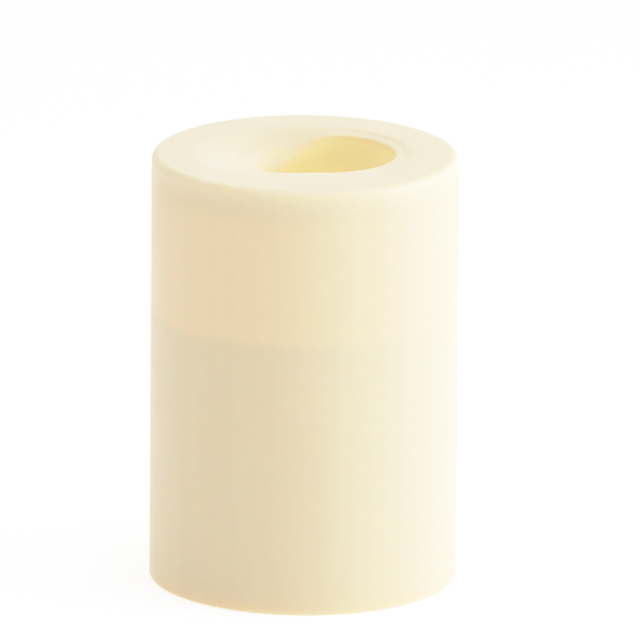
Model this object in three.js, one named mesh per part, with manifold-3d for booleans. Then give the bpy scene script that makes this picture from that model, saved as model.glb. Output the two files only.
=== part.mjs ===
// Flameless LED pillar candle: a moulded ivory shell with a sunk flame well, and a battery module below it.
// Millimetres, +Z up, origin at the centre of the circle that the candle stands on. -Y is the front.
//
// The shell is one moulding: side wall, rim, shallow dish, and a well whose mouth sits off the axis.
// The LED stands on a post and shows through a silicone grommet in the well's floor. Under the well a white
// deck closes the light chamber and covers the circuit board. Two C cells stand side by side in the housing
// below. A round cover with three lugs closes their mouth: it turns and drops along one helix. A slide
// switch beside it has three places, on, off and timer, and the model rests at on.
import * as THREE from "three";
import { mergeVertices } from "three/addons/utils/BufferGeometryUtils.js";
import Module from "manifold-3d";

const wasm = await Module();
wasm.setup();

// ---- Driving dimensions ----
const CANDLE_RADIUS = 47.5;
const CANDLE_HEIGHT = 135;
const WALL = 3;
const GAP = 0.3; // between pieces that touch on the real object
const RUNNING_GAP = 0.4; // round what turns or slides

const DISH_RADIUS = 34.8;
const DISH_DEPTH = 0.9;
const MOUTH_OFFSET = new THREE.Vector2(4.6, 3); // the well's mouth lies this far off the axis
const MOUTH_RADIUS = 23;
const SOFT_MOUTH_RADIUS = 16.5; // where the mouth's edge is melted into a funnel
const SOFT_SIDE = THREE.MathUtils.degToRad(172); // the direction in which it is melted most
const WELL_FLOOR_Z = 101;
const WELL_FLOOR_THICKNESS = 2.4;

const CELL_RADIUS = 13.1;
const CELL_CAN_LENGTH = 48.2;
const NUB_RADIUS = 3.2;
const NUB_HEIGHT = 1.8;
const CELL_X = 13.8; // each cell's axis from the candle's
const CELL_BASE_Z = 12.5; // the lower end of both cans

const BASE_Z = 3; // the base plate's outer face, above the table
const BASE_THICKNESS = 2.6;
const COLLAR_TOP_Z = 14.3;
const COVER_THICKNESS = 2;
const NECK_TOP_Z = 12.2;
const LUG_COUNT = 3;
const LUG_LEAD = 12; // drop in one whole turn of the cover
const LUG_MID_Z = 11.2;
const LUG_THICKNESS = 1.5;

const BOSS_RADIUS = 3.4; // the shell's three screw bosses
const BOSS_Z = 8.1;
const BOSS_TOP_Z = 24;

const SEAL_SHOULDER = 1; // the step on the cover that its seal lies round
const GRIP_HALF = 7.5; // half the width of the bar between the cover's two finger recesses
const RECESS_RADIUS = 22.5;
const RECESS_ROOF_Z = 8.2;
const PEG_X = 5; // the two pegs that locate the bridge contact on the cover
const PEG_RADIUS = 1.2;

const TRAY_Z = 66;
const TRAY_THICKNESS = 2;
const BOARD_Z = 72;
const BOARD_THICKNESS = 1.6;
const DECK_TOP_Z = 86.5;
const DECK_THICKNESS = 2;
const LED_FLANGE_Z = 95.6;
const LED_RADIUS = 2.5;
const LEAD_X = 1.27;
const LEAD_BOTTOM_Z = 89;

const SCREW_RADIUS = 1.3;
const SCREW_HEAD_RADIUS = 2.6;
const SCREW_HEAD_HEIGHT = 1.7;
const SCREW_LENGTH = { base: 13, housing: 11.4, cap: 12, board: 6.6, switch: 5.6 };
const SWITCH_SCREW_HEAD_RADIUS = 2;

const SWITCH_Y = -38.8;
const SWITCH_TRAVEL = 6;
const SWITCH_FRAME_Z = 8.2;
const SWITCH_BODY_HALF_X = 6.4;
const SWITCH_BODY_HALF_Y = 3.3;
const KNOB_HALF_X = 2.2;
const KNOB_HALF_Y = 1.8;
const TERMINAL_X = [-3.6, 0, 3.6];
const TERMINAL_RISE = 2.4; // how far the terminals stand above the switch's body

const SHEET = 0.5; // every contact and the switch's frame
const POSITIVE_DISC_RADIUS = 5.4;
const NEGATIVE_DISC_RADIUS = 6.2;
const BRIDGE_DISC_RADIUS = 5.6;
const TAB_HALF = 1.5; // half the width of a contact's solder tab
const POSITIVE_TAB_Y = 6;
const NEGATIVE_TAB_Y = 6.5;
const WIRE_RADIUS = 0.6;
const SEGMENTS = 36; // round each large ring, the same for all so that their facets line up

// ---- Dimensions that follow ----
const INNER_RADIUS = CANDLE_RADIUS - WALL;
const NECK_OUTER = CELL_X + CELL_RADIUS + 1.3;
const NECK_INNER = NECK_OUTER - 1.6;
const RAMP_INNER = NECK_OUTER + RUNNING_GAP;
const LUG_OUTER = NECK_OUTER + 2;
const COLLAR_INNER = LUG_OUTER + RUNNING_GAP;
const COLLAR_OUTER = COLLAR_INNER + 1.6;
const COVER_RADIUS = COLLAR_OUTER;
const SEAT_RADIUS = COVER_RADIUS + RUNNING_GAP;
const SEAT_Z = BASE_Z + COVER_THICKNESS + 1.9; // the step that the cover's seal closes on
const BASE_TOP_Z = BASE_Z + BASE_THICKNESS;
const COVER_TOP_Z = BASE_Z + COVER_THICKNESS;
const TRAY_TOP_Z = TRAY_Z + TRAY_THICKNESS;
const BOARD_TOP_Z = BOARD_Z + BOARD_THICKNESS;
const DECK_Z = DECK_TOP_Z - DECK_THICKNESS;
const HOUSING_Z = COLLAR_TOP_Z + GAP;
const HOLE_RADIUS = SCREW_RADIUS + RUNNING_GAP;
const BAY_RADIUS = CELL_RADIUS + 0.5; // one cell's half of the battery bay
const HOUSING_WALL = 1.8;
const TRAY_RADIUS = 31;
const SKIRT_INNER = TRAY_RADIUS - HOUSING_WALL;
const BASE_RADIUS = INNER_RADIUS - 0.4;
const BASE_SCREW_CIRCLE = 38.9;
const HOUSING_SCREW_CIRCLE = 36.9;
const CAP_SCREW_AT = new THREE.Vector2(15.5, 21);
const BOARD_HALF = new THREE.Vector2(19, 15);
const BOARD_POST_AT = new THREE.Vector2(16, 11);
const SWITCH_SCREW_X = 8.9;
const SWITCH_SLOT_HALF = KNOB_HALF_X + SWITCH_TRAVEL / 2 + RUNNING_GAP;
const SWITCH_BODY_TOP_Z = SWITCH_FRAME_Z + 5.9;
const KNOB_REST_X = -SWITCH_TRAVEL / 2; // the on end of the slot
const POSITIVE_SHEET_Z = CELL_BASE_Z + CELL_CAN_LENGTH + NUB_HEIGHT + GAP;
const NEGATIVE_SHEET_Z = TRAY_Z - GAP - SHEET;
const PART_Z = BOARD_TOP_Z + GAP; // where the parts on the board begin

// ---- Materials ----
function material(colour, roughness, metalness = 0) {
  return new THREE.MeshStandardMaterial({ color: colour, roughness, metalness });
}

const WAX_IVORY = material(0xf3e6c8, 0.55);
const BASE_IVORY = material(0xece0c4, 0.5);
const DECK_WHITE = material(0xf4f1e8, 0.45);
const HOUSING_BLACK = material(0x26262a, 0.6);
const STEEL = material(0xb9bbbe, 0.3, 1);
const NICKEL = material(0xcfc9ba, 0.25, 1);
const RUBBER = material(0x3a3a3c, 0.85);
const SILICONE = material(0xe6dcc6, 0.7);
const BOARD_GREEN = material(0x1f5a36, 0.5);
const CHIP_BLACK = material(0x151517, 0.45);
const AMBER = material(0xffc46a, 0.15);
const CELL_JACKET = material(0x2b3f5c, 0.35);
const CAPACITOR_BLUE = material(0x22345e, 0.4);
const RESISTOR_TAN = material(0xcfae7c, 0.55);
const WIRE_RED = material(0xa3201c, 0.5);
const WIRE_BLACK = material(0x161616, 0.5);
const WIRE_WHITE = material(0xe8e6e0, 0.5);

// ---- Solids and joins ----
// A closed three.js geometry as a manifold solid.
function solid(geometry) {
  const bare = geometry.index ? geometry.toNonIndexed() : geometry.clone();
  for (const name of ["normal", "uv"]) {
    bare.deleteAttribute(name);
  }
  const merged = mergeVertices(bare, 1e-4);
  const mesh = new wasm.Mesh({
    numProp: 3,
    vertProperties: new Float32Array(merged.attributes.position.array),
    triVerts: new Uint32Array(merged.index.array),
  });
  return new wasm.Manifold(mesh);
}

// The body, with the pieces in `add` joined to it and then those in `cut` taken out.
function joined(body, add = [], cut = []) {
  let made = solid(body);
  for (const piece of add) {
    made = made.add(solid(piece));
  }
  for (const piece of cut) {
    made = made.subtract(solid(piece));
  }
  const mesh = made.getMesh();
  const points = new Float32Array(mesh.numVert * 3);
  for (let i = 0; i < mesh.numVert; i++) {
    const start = i * mesh.numProp;
    points.set(mesh.vertProperties.subarray(start, start + 3), i * 3);
  }
  const geometry = new THREE.BufferGeometry();
  geometry.setAttribute("position", new THREE.BufferAttribute(points, 3));
  geometry.setIndex(new THREE.BufferAttribute(new Uint32Array(mesh.triVerts), 1));
  return geometry;
}

// ---- Shapes, all with +Z up ----
// A solid of revolution from [radius, z] points listed anticlockwise, closed on itself or on the axis.
function turned(profile, segments = SEGMENTS) {
  const points = profile.map(([r, z]) => new THREE.Vector2(r, z));
  if (profile[0][0] > 0) {
    points.push(points[0].clone());
  }
  return new THREE.LatheGeometry(points, segments).rotateX(Math.PI / 2);
}

function post(radius, low, high, x = 0, y = 0, segments = 10) {
  const geometry = new THREE.CylinderGeometry(radius, radius, high - low, segments);
  geometry.rotateX(Math.PI / 2);
  geometry.translate(x, y, (low + high) / 2);
  return geometry;
}

// A box from its lowest and highest corner.
function block(low, high) {
  const size = high.map((value, i) => value - low[i]);
  const geometry = new THREE.BoxGeometry(...size);
  geometry.translate(...low.map((value, i) => value + size[i] / 2));
  return geometry;
}

function plate(shape, low, high, curveSegments = 12) {
  const geometry = new THREE.ExtrudeGeometry(shape, {
    depth: high - low,
    bevelEnabled: false,
    curveSegments,
  });
  geometry.translate(0, 0, low);
  return geometry;
}

// Two half circles at x = -half and x = half, joined by straight sides.
function oblong(half, radius) {
  const shape = new THREE.Shape();
  shape.absarc(half, 0, radius, -Math.PI / 2, Math.PI / 2, false);
  shape.absarc(-half, 0, radius, Math.PI / 2, (3 * Math.PI) / 2, false);
  shape.closePath();
  return shape;
}

function tube(curve, radius, steps, sides) {
  const section = new THREE.Shape();
  section.absarc(0, 0, radius, 0, 2 * Math.PI, false);
  return new THREE.ExtrudeGeometry(section, {
    extrudePath: curve,
    steps,
    curveSegments: sides / 2,
    bevelEnabled: false,
  });
}

// A length of screw thread: a block bent round the axis that climbs with the angle.
function threadLength(inner, outer, thickness, midZ, from, to, segments) {
  const geometry = new THREE.BoxGeometry(outer - inner, to - from, thickness, 1, segments, 1);
  const position = geometry.attributes.position;
  for (let i = 0; i < position.count; i++) {
    const radius = (inner + outer) / 2 + position.getX(i);
    const angle = (from + to) / 2 + position.getY(i);
    const climb = (LUG_LEAD * position.getY(i)) / (2 * Math.PI);
    const z = midZ + climb + position.getZ(i);
    position.setXYZ(i, radius * Math.cos(angle), radius * Math.sin(angle), z);
  }
  return geometry;
}

// A conical coil of wire standing on (x, y), from a wide foot to a narrow top, or the other way up.
class CoilCurve extends THREE.Curve {
  constructor({ x, footRadius, topRadius, low, high, turns }) {
    super();
    Object.assign(this, { x, footRadius, topRadius, low, high, turns });
  }

  getPoint(t, target = new THREE.Vector3()) {
    const angle = 2 * Math.PI * this.turns * t;
    const radius = THREE.MathUtils.lerp(this.footRadius, this.topRadius, t);
    const z = THREE.MathUtils.lerp(this.low, this.high, t);
    return target.set(this.x + radius * Math.cos(angle), radius * Math.sin(angle), z);
  }
}

function coil(places) {
  const wire = 0.45;
  const curve = new CoilCurve({ ...places, low: places.low + wire, high: places.high - wire });
  return tube(curve, wire, Math.round(places.turns * 10), 4);
}

// A pan-head screw with its head's face at `face`; `up` is 1 where the shank points up.
function screw(x, y, face, length, up = 1, headRadius = SCREW_HEAD_RADIUS) {
  const profile = [
    [0, 0],
    [headRadius * 0.8, 0],
    [headRadius, 0.6],
    [headRadius, SCREW_HEAD_HEIGHT],
    [SCREW_RADIUS, SCREW_HEAD_HEIGHT],
    [SCREW_RADIUS, length],
    [0, length],
  ];
  const geometry = turned(profile, 8);
  if (up < 0) {
    geometry.rotateX(Math.PI);
  }
  geometry.translate(x, y, face);
  return geometry;
}

// ---- The shell ----
// The section of the shell, anticlockwise from the well's floor: [radius, z, share of the mouth's offset], and
// after these the radius and z that the point has on the melted side, where they differ.
function shellSection() {
  const top = CANDLE_HEIGHT;
  const dishEdge = top - DISH_DEPTH;
  const floor = WELL_FLOOR_Z;
  const under = WELL_FLOOR_Z - WELL_FLOOR_THICKNESS;
  const hole = 4.3;
  const edge = 2;
  const foot = 1;
  const underside = [
    [hole, under, 0],
    [16.5, under, 0],
    [19.8, floor + 2.6, 0.05],
    [21.8, floor + 11, 0.35],
    [24.3, top - 12, 0.8],
    [MOUTH_RADIUS + 2.6, top - 7, 1],
    [MOUTH_RADIUS + 5, top - 4.4, 1],
    [INNER_RADIUS - 3, top - WALL, 0],
    [INNER_RADIUS, top - 2 * WALL, 0],
  ];
  const outside = [
    [INNER_RADIUS, 0, 0],
    [CANDLE_RADIUS - foot, 0, 0],
    [CANDLE_RADIUS, foot, 0],
    [CANDLE_RADIUS, top - edge, 0],
    [CANDLE_RADIUS - 0.3 * edge, top - 0.3 * edge, 0],
    [CANDLE_RADIUS - edge, top, 0],
  ];
  const well = [
    [DISH_RADIUS, top, 0],
    [MOUTH_RADIUS + 1.2, dishEdge, 1, SOFT_MOUTH_RADIUS + 9, top - 3],
    [MOUTH_RADIUS, dishEdge - 1.6, 1, SOFT_MOUTH_RADIUS + 2.6, top - 5.6],
    [21.9, top - 12, 0.8, SOFT_MOUTH_RADIUS],
    [19.4, floor + 12, 0.35, 16.9],
    [17.4, floor + 3.4, 0.05],
    [15, floor, 0],
    [hole, floor, 0],
  ];
  return [...underside, ...outside, ...well];
}

function baseScrewPlaces() {
  return [90, 210, 330].map((degrees) => {
    const angle = THREE.MathUtils.degToRad(degrees);
    return new THREE.Vector2(Math.cos(angle), Math.sin(angle)).multiplyScalar(BASE_SCREW_CIRCLE);
  });
}

// 0 where the mouth's edge is crisp, 1 where it is melted.
function softness(angle) {
  const facing = (1 + Math.cos(angle - SOFT_SIDE)) / 2;
  return THREE.MathUtils.smoothstep(facing, 0.45, 1);
}

// The shell's section turned round the axis, with each ring moved sideways and softened as its point says.
function shellBody() {
  const section = shellSection();
  const geometry = turned(section);
  const position = geometry.attributes.position;
  const rows = section.length + 1;
  for (let i = 0; i < position.count; i++) {
    const [r, z, share, softRadius = r, softZ = z] = section[(i % rows) % section.length];
    const angle = Math.atan2(position.getY(i), position.getX(i));
    const soft = softness(angle);
    const radius = THREE.MathUtils.lerp(r, softRadius, soft);
    const x = radius * Math.cos(angle) + share * MOUTH_OFFSET.x;
    const y = radius * Math.sin(angle) + share * MOUTH_OFFSET.y;
    position.setXYZ(i, x, y, THREE.MathUtils.lerp(z, softZ, soft));
  }
  return geometry;
}

function candleShell() {
  const bosses = [];
  const pilots = [];
  for (const place of baseScrewPlaces()) {
    bosses.push(post(BOSS_RADIUS, BOSS_Z, BOSS_TOP_Z, place.x, place.y));
    const web = block([0, -1.1, BOSS_Z], [INNER_RADIUS + 1 - BASE_SCREW_CIRCLE, 1.1, BOSS_TOP_Z]);
    web.rotateZ(place.angle());
    web.translate(place.x, place.y, 0);
    bosses.push(web);
    pilots.push(post(HOLE_RADIUS, BOSS_Z - 1, BOSS_TOP_Z - 4, place.x, place.y));
  }
  return joined(shellBody(), bosses, pilots);
}

// ---- The LED and its seal ----
function ledGrommet() {
  const low = WELL_FLOOR_Z - WELL_FLOOR_THICKNESS - GAP;
  const high = WELL_FLOOR_Z + GAP;
  const bore = 2.85;
  const waist = 4;
  return turned(
    [
      [bore, low - 1],
      [5.4, low - 1],
      [5.4, low],
      [waist, low],
      [waist, high],
      [5.6, high],
      [5.6, high + 0.5],
      [5, high + 1],
      [bore, high + 1],
    ],
    16,
  );
}

function led() {
  const radius = LED_RADIUS;
  const shoulder = LED_FLANGE_Z + 6.2;
  const dome = [];
  const steps = 4;
  for (let i = 0; i < steps; i++) {
    const angle = (i / steps) * (Math.PI / 2);
    dome.push([radius * Math.cos(angle), shoulder + radius * Math.sin(angle)]);
  }
  dome.push([0, shoulder + radius]);
  return turned(
    [[0, LED_FLANGE_Z], [2.9, LED_FLANGE_Z], [2.9, LED_FLANGE_Z + 1], [radius, LED_FLANGE_Z + 1], ...dome],
    14,
  );
}

function ledLead(side) {
  const half = 0.25;
  return block(
    [side * LEAD_X - half, -half, LEAD_BOTTOM_Z],
    [side * LEAD_X + half, half, LED_FLANGE_Z - GAP],
  );
}

// ---- The deck over the circuit board ----
function moduleCap() {
  const bore = 2.4;
  const skirtZ = TRAY_TOP_Z + GAP;
  const body = turned(
    [
      [bore, DECK_Z],
      [SKIRT_INNER, DECK_Z],
      [SKIRT_INNER, skirtZ],
      [TRAY_RADIUS, skirtZ],
      [TRAY_RADIUS, DECK_Z],
      [INNER_RADIUS - 0.7, DECK_Z],
      [INNER_RADIUS - 0.7, DECK_TOP_Z],
      [6.6, DECK_TOP_Z],
      [4.6, DECK_TOP_Z + 2],
      [4.6, LED_FLANGE_Z - GAP],
      [bore, LED_FLANGE_Z - GAP],
    ],
  );
  const ribs = [];
  for (let i = 0; i < 6; i++) {
    const rib = block([TRAY_RADIUS - 0.5, -0.6, DECK_Z - 4], [INNER_RADIUS - 3, 0.6, DECK_Z + 0.5]);
    rib.rotateZ((i + 0.5) * (Math.PI / 3));
    ribs.push(rib);
  }
  const bosses = capScrewPlaces().map(({ x, y }) => post(2.8, skirtZ, DECK_Z + 0.5, x, y));
  const pilots = capScrewPlaces().map(({ x, y }) => post(HOLE_RADIUS, skirtZ - 1, DECK_Z - 5, x, y));
  const wireNotch = block([-4, -TRAY_RADIUS - 1, skirtZ - 1], [4, -SKIRT_INNER + 1, skirtZ + 4]);
  return joined(body, [...ribs, ...bosses], [...pilots, wireNotch]);
}

function capScrewPlaces() {
  const places = [];
  for (const sx of [-1, 1]) {
    for (const sy of [-1, 1]) {
      places.push(new THREE.Vector2(sx * CAP_SCREW_AT.x, sy * CAP_SCREW_AT.y));
    }
  }
  return places;
}

// ---- The battery housing ----
function housingScrewPlaces() {
  return [45, 135, 225, 315].map((degrees) => {
    const angle = THREE.MathUtils.degToRad(degrees);
    return new THREE.Vector2(Math.cos(angle), Math.sin(angle)).multiplyScalar(HOUSING_SCREW_CIRCLE);
  });
}

// The hole that a contact's tab passes through, at the cell on that side.
function tabSlot(side, y, low, high) {
  const x = side * CELL_X;
  return block(
    [x - TAB_HALF - GAP, y - GAP, low],
    [x + TAB_HALF + GAP, y + SHEET + GAP, high],
  );
}

function batteryHousing() {
  const outer = BAY_RADIUS + HOUSING_WALL;
  const sleeve = plate(oblong(CELL_X, outer), HOUSING_Z, TRAY_Z + 0.5);
  const flange = post(COLLAR_OUTER, HOUSING_Z, HOUSING_Z + 2, 0, 0, SEGMENTS);
  const tray = post(TRAY_RADIUS, TRAY_Z, TRAY_TOP_Z, 0, 0, SEGMENTS);
  const ears = housingScrewPlaces().map(({ x, y }) => post(3.2, HOUSING_Z, HOUSING_Z + 2, x, y));
  const earWebs = housingScrewPlaces().map((place) => {
    const web = block([-8, -3.2, HOUSING_Z], [0, 3.2, HOUSING_Z + 2]);
    web.rotateZ(place.angle());
    web.translate(place.x, place.y, 0);
    return web;
  });
  const boardPosts = boardPostPlaces().map(({ x, y }) => post(2.4, TRAY_Z + 0.5, BOARD_Z - GAP, x, y));
  const seat = post(5.4, POSITIVE_SHEET_Z + SHEET + GAP, TRAY_Z + 0.5, -CELL_X, 0);
  const bay = plate(oblong(CELL_X, BAY_RADIUS), HOUSING_Z - 1, TRAY_Z);
  const holes = [
    ...housingScrewPlaces().map(({ x, y }) => post(HOLE_RADIUS, HOUSING_Z - 1, HOUSING_Z + 3, x, y)),
    ...capScrewPlaces().map(({ x, y }) => post(HOLE_RADIUS, TRAY_Z - 1, TRAY_TOP_Z + 1, x, y)),
    ...boardScrewPlaces().map(({ x, y }) => post(HOLE_RADIUS, TRAY_TOP_Z, BOARD_Z, x, y)),
    tabSlot(-1, POSITIVE_TAB_Y, TRAY_Z - 1, TRAY_TOP_Z + 1),
    tabSlot(1, NEGATIVE_TAB_Y, TRAY_Z - 1, TRAY_TOP_Z + 1),
  ];
  const hollow = joined(sleeve, [flange, tray, ...ears, ...earWebs, ...boardPosts], [bay]);
  return joined(hollow, [seat], holes);
}

// ---- The circuit board and what stands on it ----
function boardPostPlaces() {
  const { x, y } = BOARD_POST_AT;
  return [
    new THREE.Vector2(-x, y),
    new THREE.Vector2(x, -y),
    new THREE.Vector2(x, y),
    new THREE.Vector2(-x, -y),
  ];
}

function boardScrewPlaces() {
  return boardPostPlaces().slice(0, 2);
}

function circuitBoard() {
  const { x, y } = BOARD_HALF;
  const board = block([-x, -y, BOARD_Z], [x, y, BOARD_TOP_Z]);
  const cuts = boardScrewPlaces().map((at) => post(HOLE_RADIUS, BOARD_Z - 1, BOARD_TOP_Z + 1, at.x, at.y));
  cuts.push(tabSlot(-1, POSITIVE_TAB_Y, BOARD_Z - 1, BOARD_TOP_Z + 1));
  cuts.push(tabSlot(1, NEGATIVE_TAB_Y, BOARD_Z - 1, BOARD_TOP_Z + 1));
  return joined(board, [], cuts);
}

function timerChip() {
  const body = block([-2.5, -2, PART_Z + 0.2], [2.5, 2, PART_Z + 1.7]);
  const legs = [];
  for (const side of [-1, 1]) {
    for (let i = 0; i < 4; i++) {
      const x = (i - 1.5) * 1.27;
      const reach = [side * 1.9, side * 3.1].sort((a, b) => a - b);
      legs.push(block([x - 0.22, reach[0], PART_Z], [x + 0.22, reach[1], PART_Z + 0.7]));
    }
  }
  return joined(body, legs);
}

function smoothingCapacitor() {
  const high = PART_Z + 9;
  const profile = [
    [0, PART_Z],
    [3.1, PART_Z],
    [3.1, PART_Z + 0.9],
    [2.85, PART_Z + 1.3],
    [3.1, PART_Z + 1.7],
    [3.1, high - 0.5],
    [2.7, high],
    [0, high],
  ];
  return turned(profile, 14).translate(10, -6, 0);
}

function timingCrystal() {
  return post(1, -3, 3).rotateY(Math.PI / 2).translate(-8, -5.5, PART_Z + 1);
}

// A resistor lying on the board along X, with its two wire ends bent down to it.
function resistor(x, y) {
  const body = [
    [0, -3.2],
    [0.8, -3.2],
    [1.15, -2.7],
    [1.15, -1.8],
    [0.9, -1.4],
    [0.9, 1.4],
    [1.15, 1.8],
    [1.15, 2.7],
    [0.8, 3.2],
    [0, 3.2],
  ];
  const lead = 0.28;
  const z = PART_Z + 1.4;
  const turnedBody = turned(body, 8).rotateY(Math.PI / 2).translate(x, y, z);
  const ends = [-1, 1].flatMap((side) => {
    const far = [side * 3, side * 5].sort((a, b) => a - b);
    const drop = [side * 5 - lead, side * 5 + lead];
    return [
      block([x + far[0], y - lead, z - lead], [x + far[1], y + lead, z + lead]),
      block([x + drop[0], y - lead, PART_Z], [x + drop[1], y + lead, z + lead]),
    ];
  });
  return joined(turnedBody, ends);
}

function driverTransistor() {
  const shape = new THREE.Shape();
  shape.absarc(0, 0, 2.3, Math.PI / 6, (5 * Math.PI) / 6, true);
  shape.closePath();
  const body = plate(shape, PART_Z + 2, PART_Z + 6.6, 6);
  const legs = [-1.27, 0, 1.27].map((x) => block([x - 0.22, -0.4, PART_Z], [x + 0.22, 0.04, PART_Z + 2.5]));
  return joined(body, legs).translate(4, 10.5, 0);
}

// ---- Contacts and springs ----
function roofContact(side, sheetZ, tabY, radius) {
  const x = side * CELL_X;
  const disc = post(radius, sheetZ, sheetZ + SHEET, x, 0, 16);
  const foot = block([x - TAB_HALF, 2, sheetZ], [x + TAB_HALF, tabY + SHEET, sheetZ + SHEET]);
  const tab = block([x - TAB_HALF, tabY, sheetZ], [x + TAB_HALF, tabY + SHEET, BOARD_TOP_Z + 1.4]);
  return joined(disc, [foot, tab]);
}

// The strip that joins the two cells: a disc under the left cell's spring, and a tongue arched up to the
// right cell's nub.
function bridgeContact() {
  const low = COVER_TOP_Z + GAP;
  const high = low + SHEET;
  const crown = CELL_BASE_Z - NUB_HEIGHT - GAP;
  const strip = block([-CELL_X, -3, low], [CELL_X - 5, 3, high]);
  const disc = post(BRIDGE_DISC_RADIUS, low, high, -CELL_X, 0, 16);
  const outline = new THREE.Shape();
  outline.moveTo(-6, low);
  outline.lineTo(-3.6, crown);
  outline.lineTo(3.6, crown);
  outline.lineTo(6, low);
  outline.lineTo(6 - SHEET, low);
  outline.lineTo(3.6 - SHEET, crown - SHEET);
  outline.lineTo(-3.6 + SHEET, crown - SHEET);
  outline.lineTo(-6 + SHEET, low);
  outline.closePath();
  const tongue = plate(outline, -3, 3).rotateX(Math.PI / 2).translate(CELL_X, 0, 0);
  const holes = [-1, 1].map((side) => post(PEG_RADIUS + RUNNING_GAP, low - 1, high + 1, side * PEG_X, 0));
  return joined(strip, [disc, tongue], holes);
}

function bridgeSpring() {
  const low = COVER_TOP_Z + 2 * GAP + SHEET;
  const high = CELL_BASE_Z - GAP;
  return coil({ x: -CELL_X, footRadius: 5.2, topRadius: 3.4, low, high, turns: 3.5 });
}

function negativeSpring() {
  const low = CELL_BASE_Z + CELL_CAN_LENGTH + GAP;
  const high = NEGATIVE_SHEET_Z - GAP;
  return coil({ x: CELL_X, footRadius: 3.4, topRadius: 5.6, low, high, turns: 2.5 });
}

// ---- The cells ----
// A C cell standing on z = 0, nub up.
function cell() {
  const length = CELL_CAN_LENGTH;
  return turned(
    [
      [0, 0.4],
      [9.5, 0.4],
      [10, 0],
      [CELL_RADIUS - 0.6, 0],
      [CELL_RADIUS, 0.6],
      [CELL_RADIUS, length - 0.6],
      [CELL_RADIUS - 0.6, length],
      [NUB_RADIUS, length],
      [NUB_RADIUS, length + NUB_HEIGHT - 0.4],
      [NUB_RADIUS - 0.4, length + NUB_HEIGHT],
      [0, length + NUB_HEIGHT],
    ],
    24,
  );
}

function batteryCell(side) {
  const made = cell();
  if (side > 0) {
    made.rotateX(Math.PI);
    made.translate(0, 0, CELL_CAN_LENGTH);
  }
  return made.translate(side * CELL_X, 0, CELL_BASE_Z);
}

// ---- The base plate, with the mouth that the cover closes ----
function basePlate() {
  const groove = 1.1;
  const seatWall = SEAT_RADIUS + 1.6;
  const body = turned(
    [
      [SEAT_RADIUS, BASE_Z],
      [BASE_RADIUS, BASE_Z],
      [BASE_RADIUS, BASE_Z + 0.6],
      [BASE_RADIUS - groove, BASE_Z + 0.6],
      [BASE_RADIUS - groove, BASE_TOP_Z - 0.6],
      [BASE_RADIUS, BASE_TOP_Z - 0.6],
      [BASE_RADIUS, BASE_TOP_Z],
      [seatWall, BASE_TOP_Z],
      [seatWall, SEAT_Z + 1.6],
      [COLLAR_OUTER, SEAT_Z + 1.6],
      [COLLAR_OUTER, COLLAR_TOP_Z],
      [COLLAR_INNER, COLLAR_TOP_Z],
      [COLLAR_INNER, SEAT_Z],
      [SEAT_RADIUS, SEAT_Z],
    ],
  );
  const cupTop = BOSS_Z - GAP;
  const cups = baseScrewPlaces().map(({ x, y }) => post(3.9, BASE_Z, cupTop, x, y));
  const posts = housingScrewPlaces().map(({ x, y }) => post(2.9, BASE_TOP_Z - 0.5, COLLAR_TOP_Z, x, y));
  const switchPosts = switchScrewPlaces().map(({ x, y }) => {
    return post(1.9, BASE_TOP_Z - 0.5, SWITCH_FRAME_Z - GAP, x, y);
  });
  const rampMidZ = LUG_MID_Z - LUG_THICKNESS - 0.35;
  const ramps = lugAngles().map((angle) => {
    const from = angle - THREE.MathUtils.degToRad(52);
    const to = angle + THREE.MathUtils.degToRad(9);
    const midZ = rampMidZ + (LUG_LEAD * ((from + to) / 2 - angle)) / (2 * Math.PI);
    return threadLength(RAMP_INNER, COLLAR_INNER + 0.8, LUG_THICKNESS, midZ, from, to, 6);
  });
  const cuts = [
    ...baseScrewPlaces().map(({ x, y }) => post(SCREW_HEAD_RADIUS + 0.5, BASE_Z - 1, cupTop - 1.8, x, y)),
    ...baseScrewPlaces().map(({ x, y }) => post(HOLE_RADIUS, BASE_Z, BOSS_Z, x, y)),
    ...housingScrewPlaces().map(({ x, y }) => post(HOLE_RADIUS, BASE_TOP_Z + 0.4, COLLAR_TOP_Z + 1, x, y)),
    ...switchScrewPlaces().map(({ x, y }) => post(HOLE_RADIUS, BASE_Z + 1, SWITCH_FRAME_Z, x, y)),
    block(
      [-SWITCH_SLOT_HALF, SWITCH_Y - KNOB_HALF_Y - RUNNING_GAP, BASE_Z - 1],
      [SWITCH_SLOT_HALF, SWITCH_Y + KNOB_HALF_Y + RUNNING_GAP, BASE_TOP_Z + 1],
    ),
  ];
  return joined(body, [...cups, ...posts, ...switchPosts, ...ramps], cuts);
}

function lugAngles() {
  return Array.from({ length: LUG_COUNT }, (_, i) => Math.PI / 6 + (2 * Math.PI * i) / LUG_COUNT);
}

// ---- The battery cover and its seal ----
// A D-shaped outline: a piece of a circle beyond the chord y = near.
function fingerOutline(radius, near) {
  const angle = Math.asin(near / radius);
  const shape = new THREE.Shape();
  shape.absarc(0, 0, radius, angle, Math.PI - angle, false);
  shape.closePath();
  return shape;
}

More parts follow.
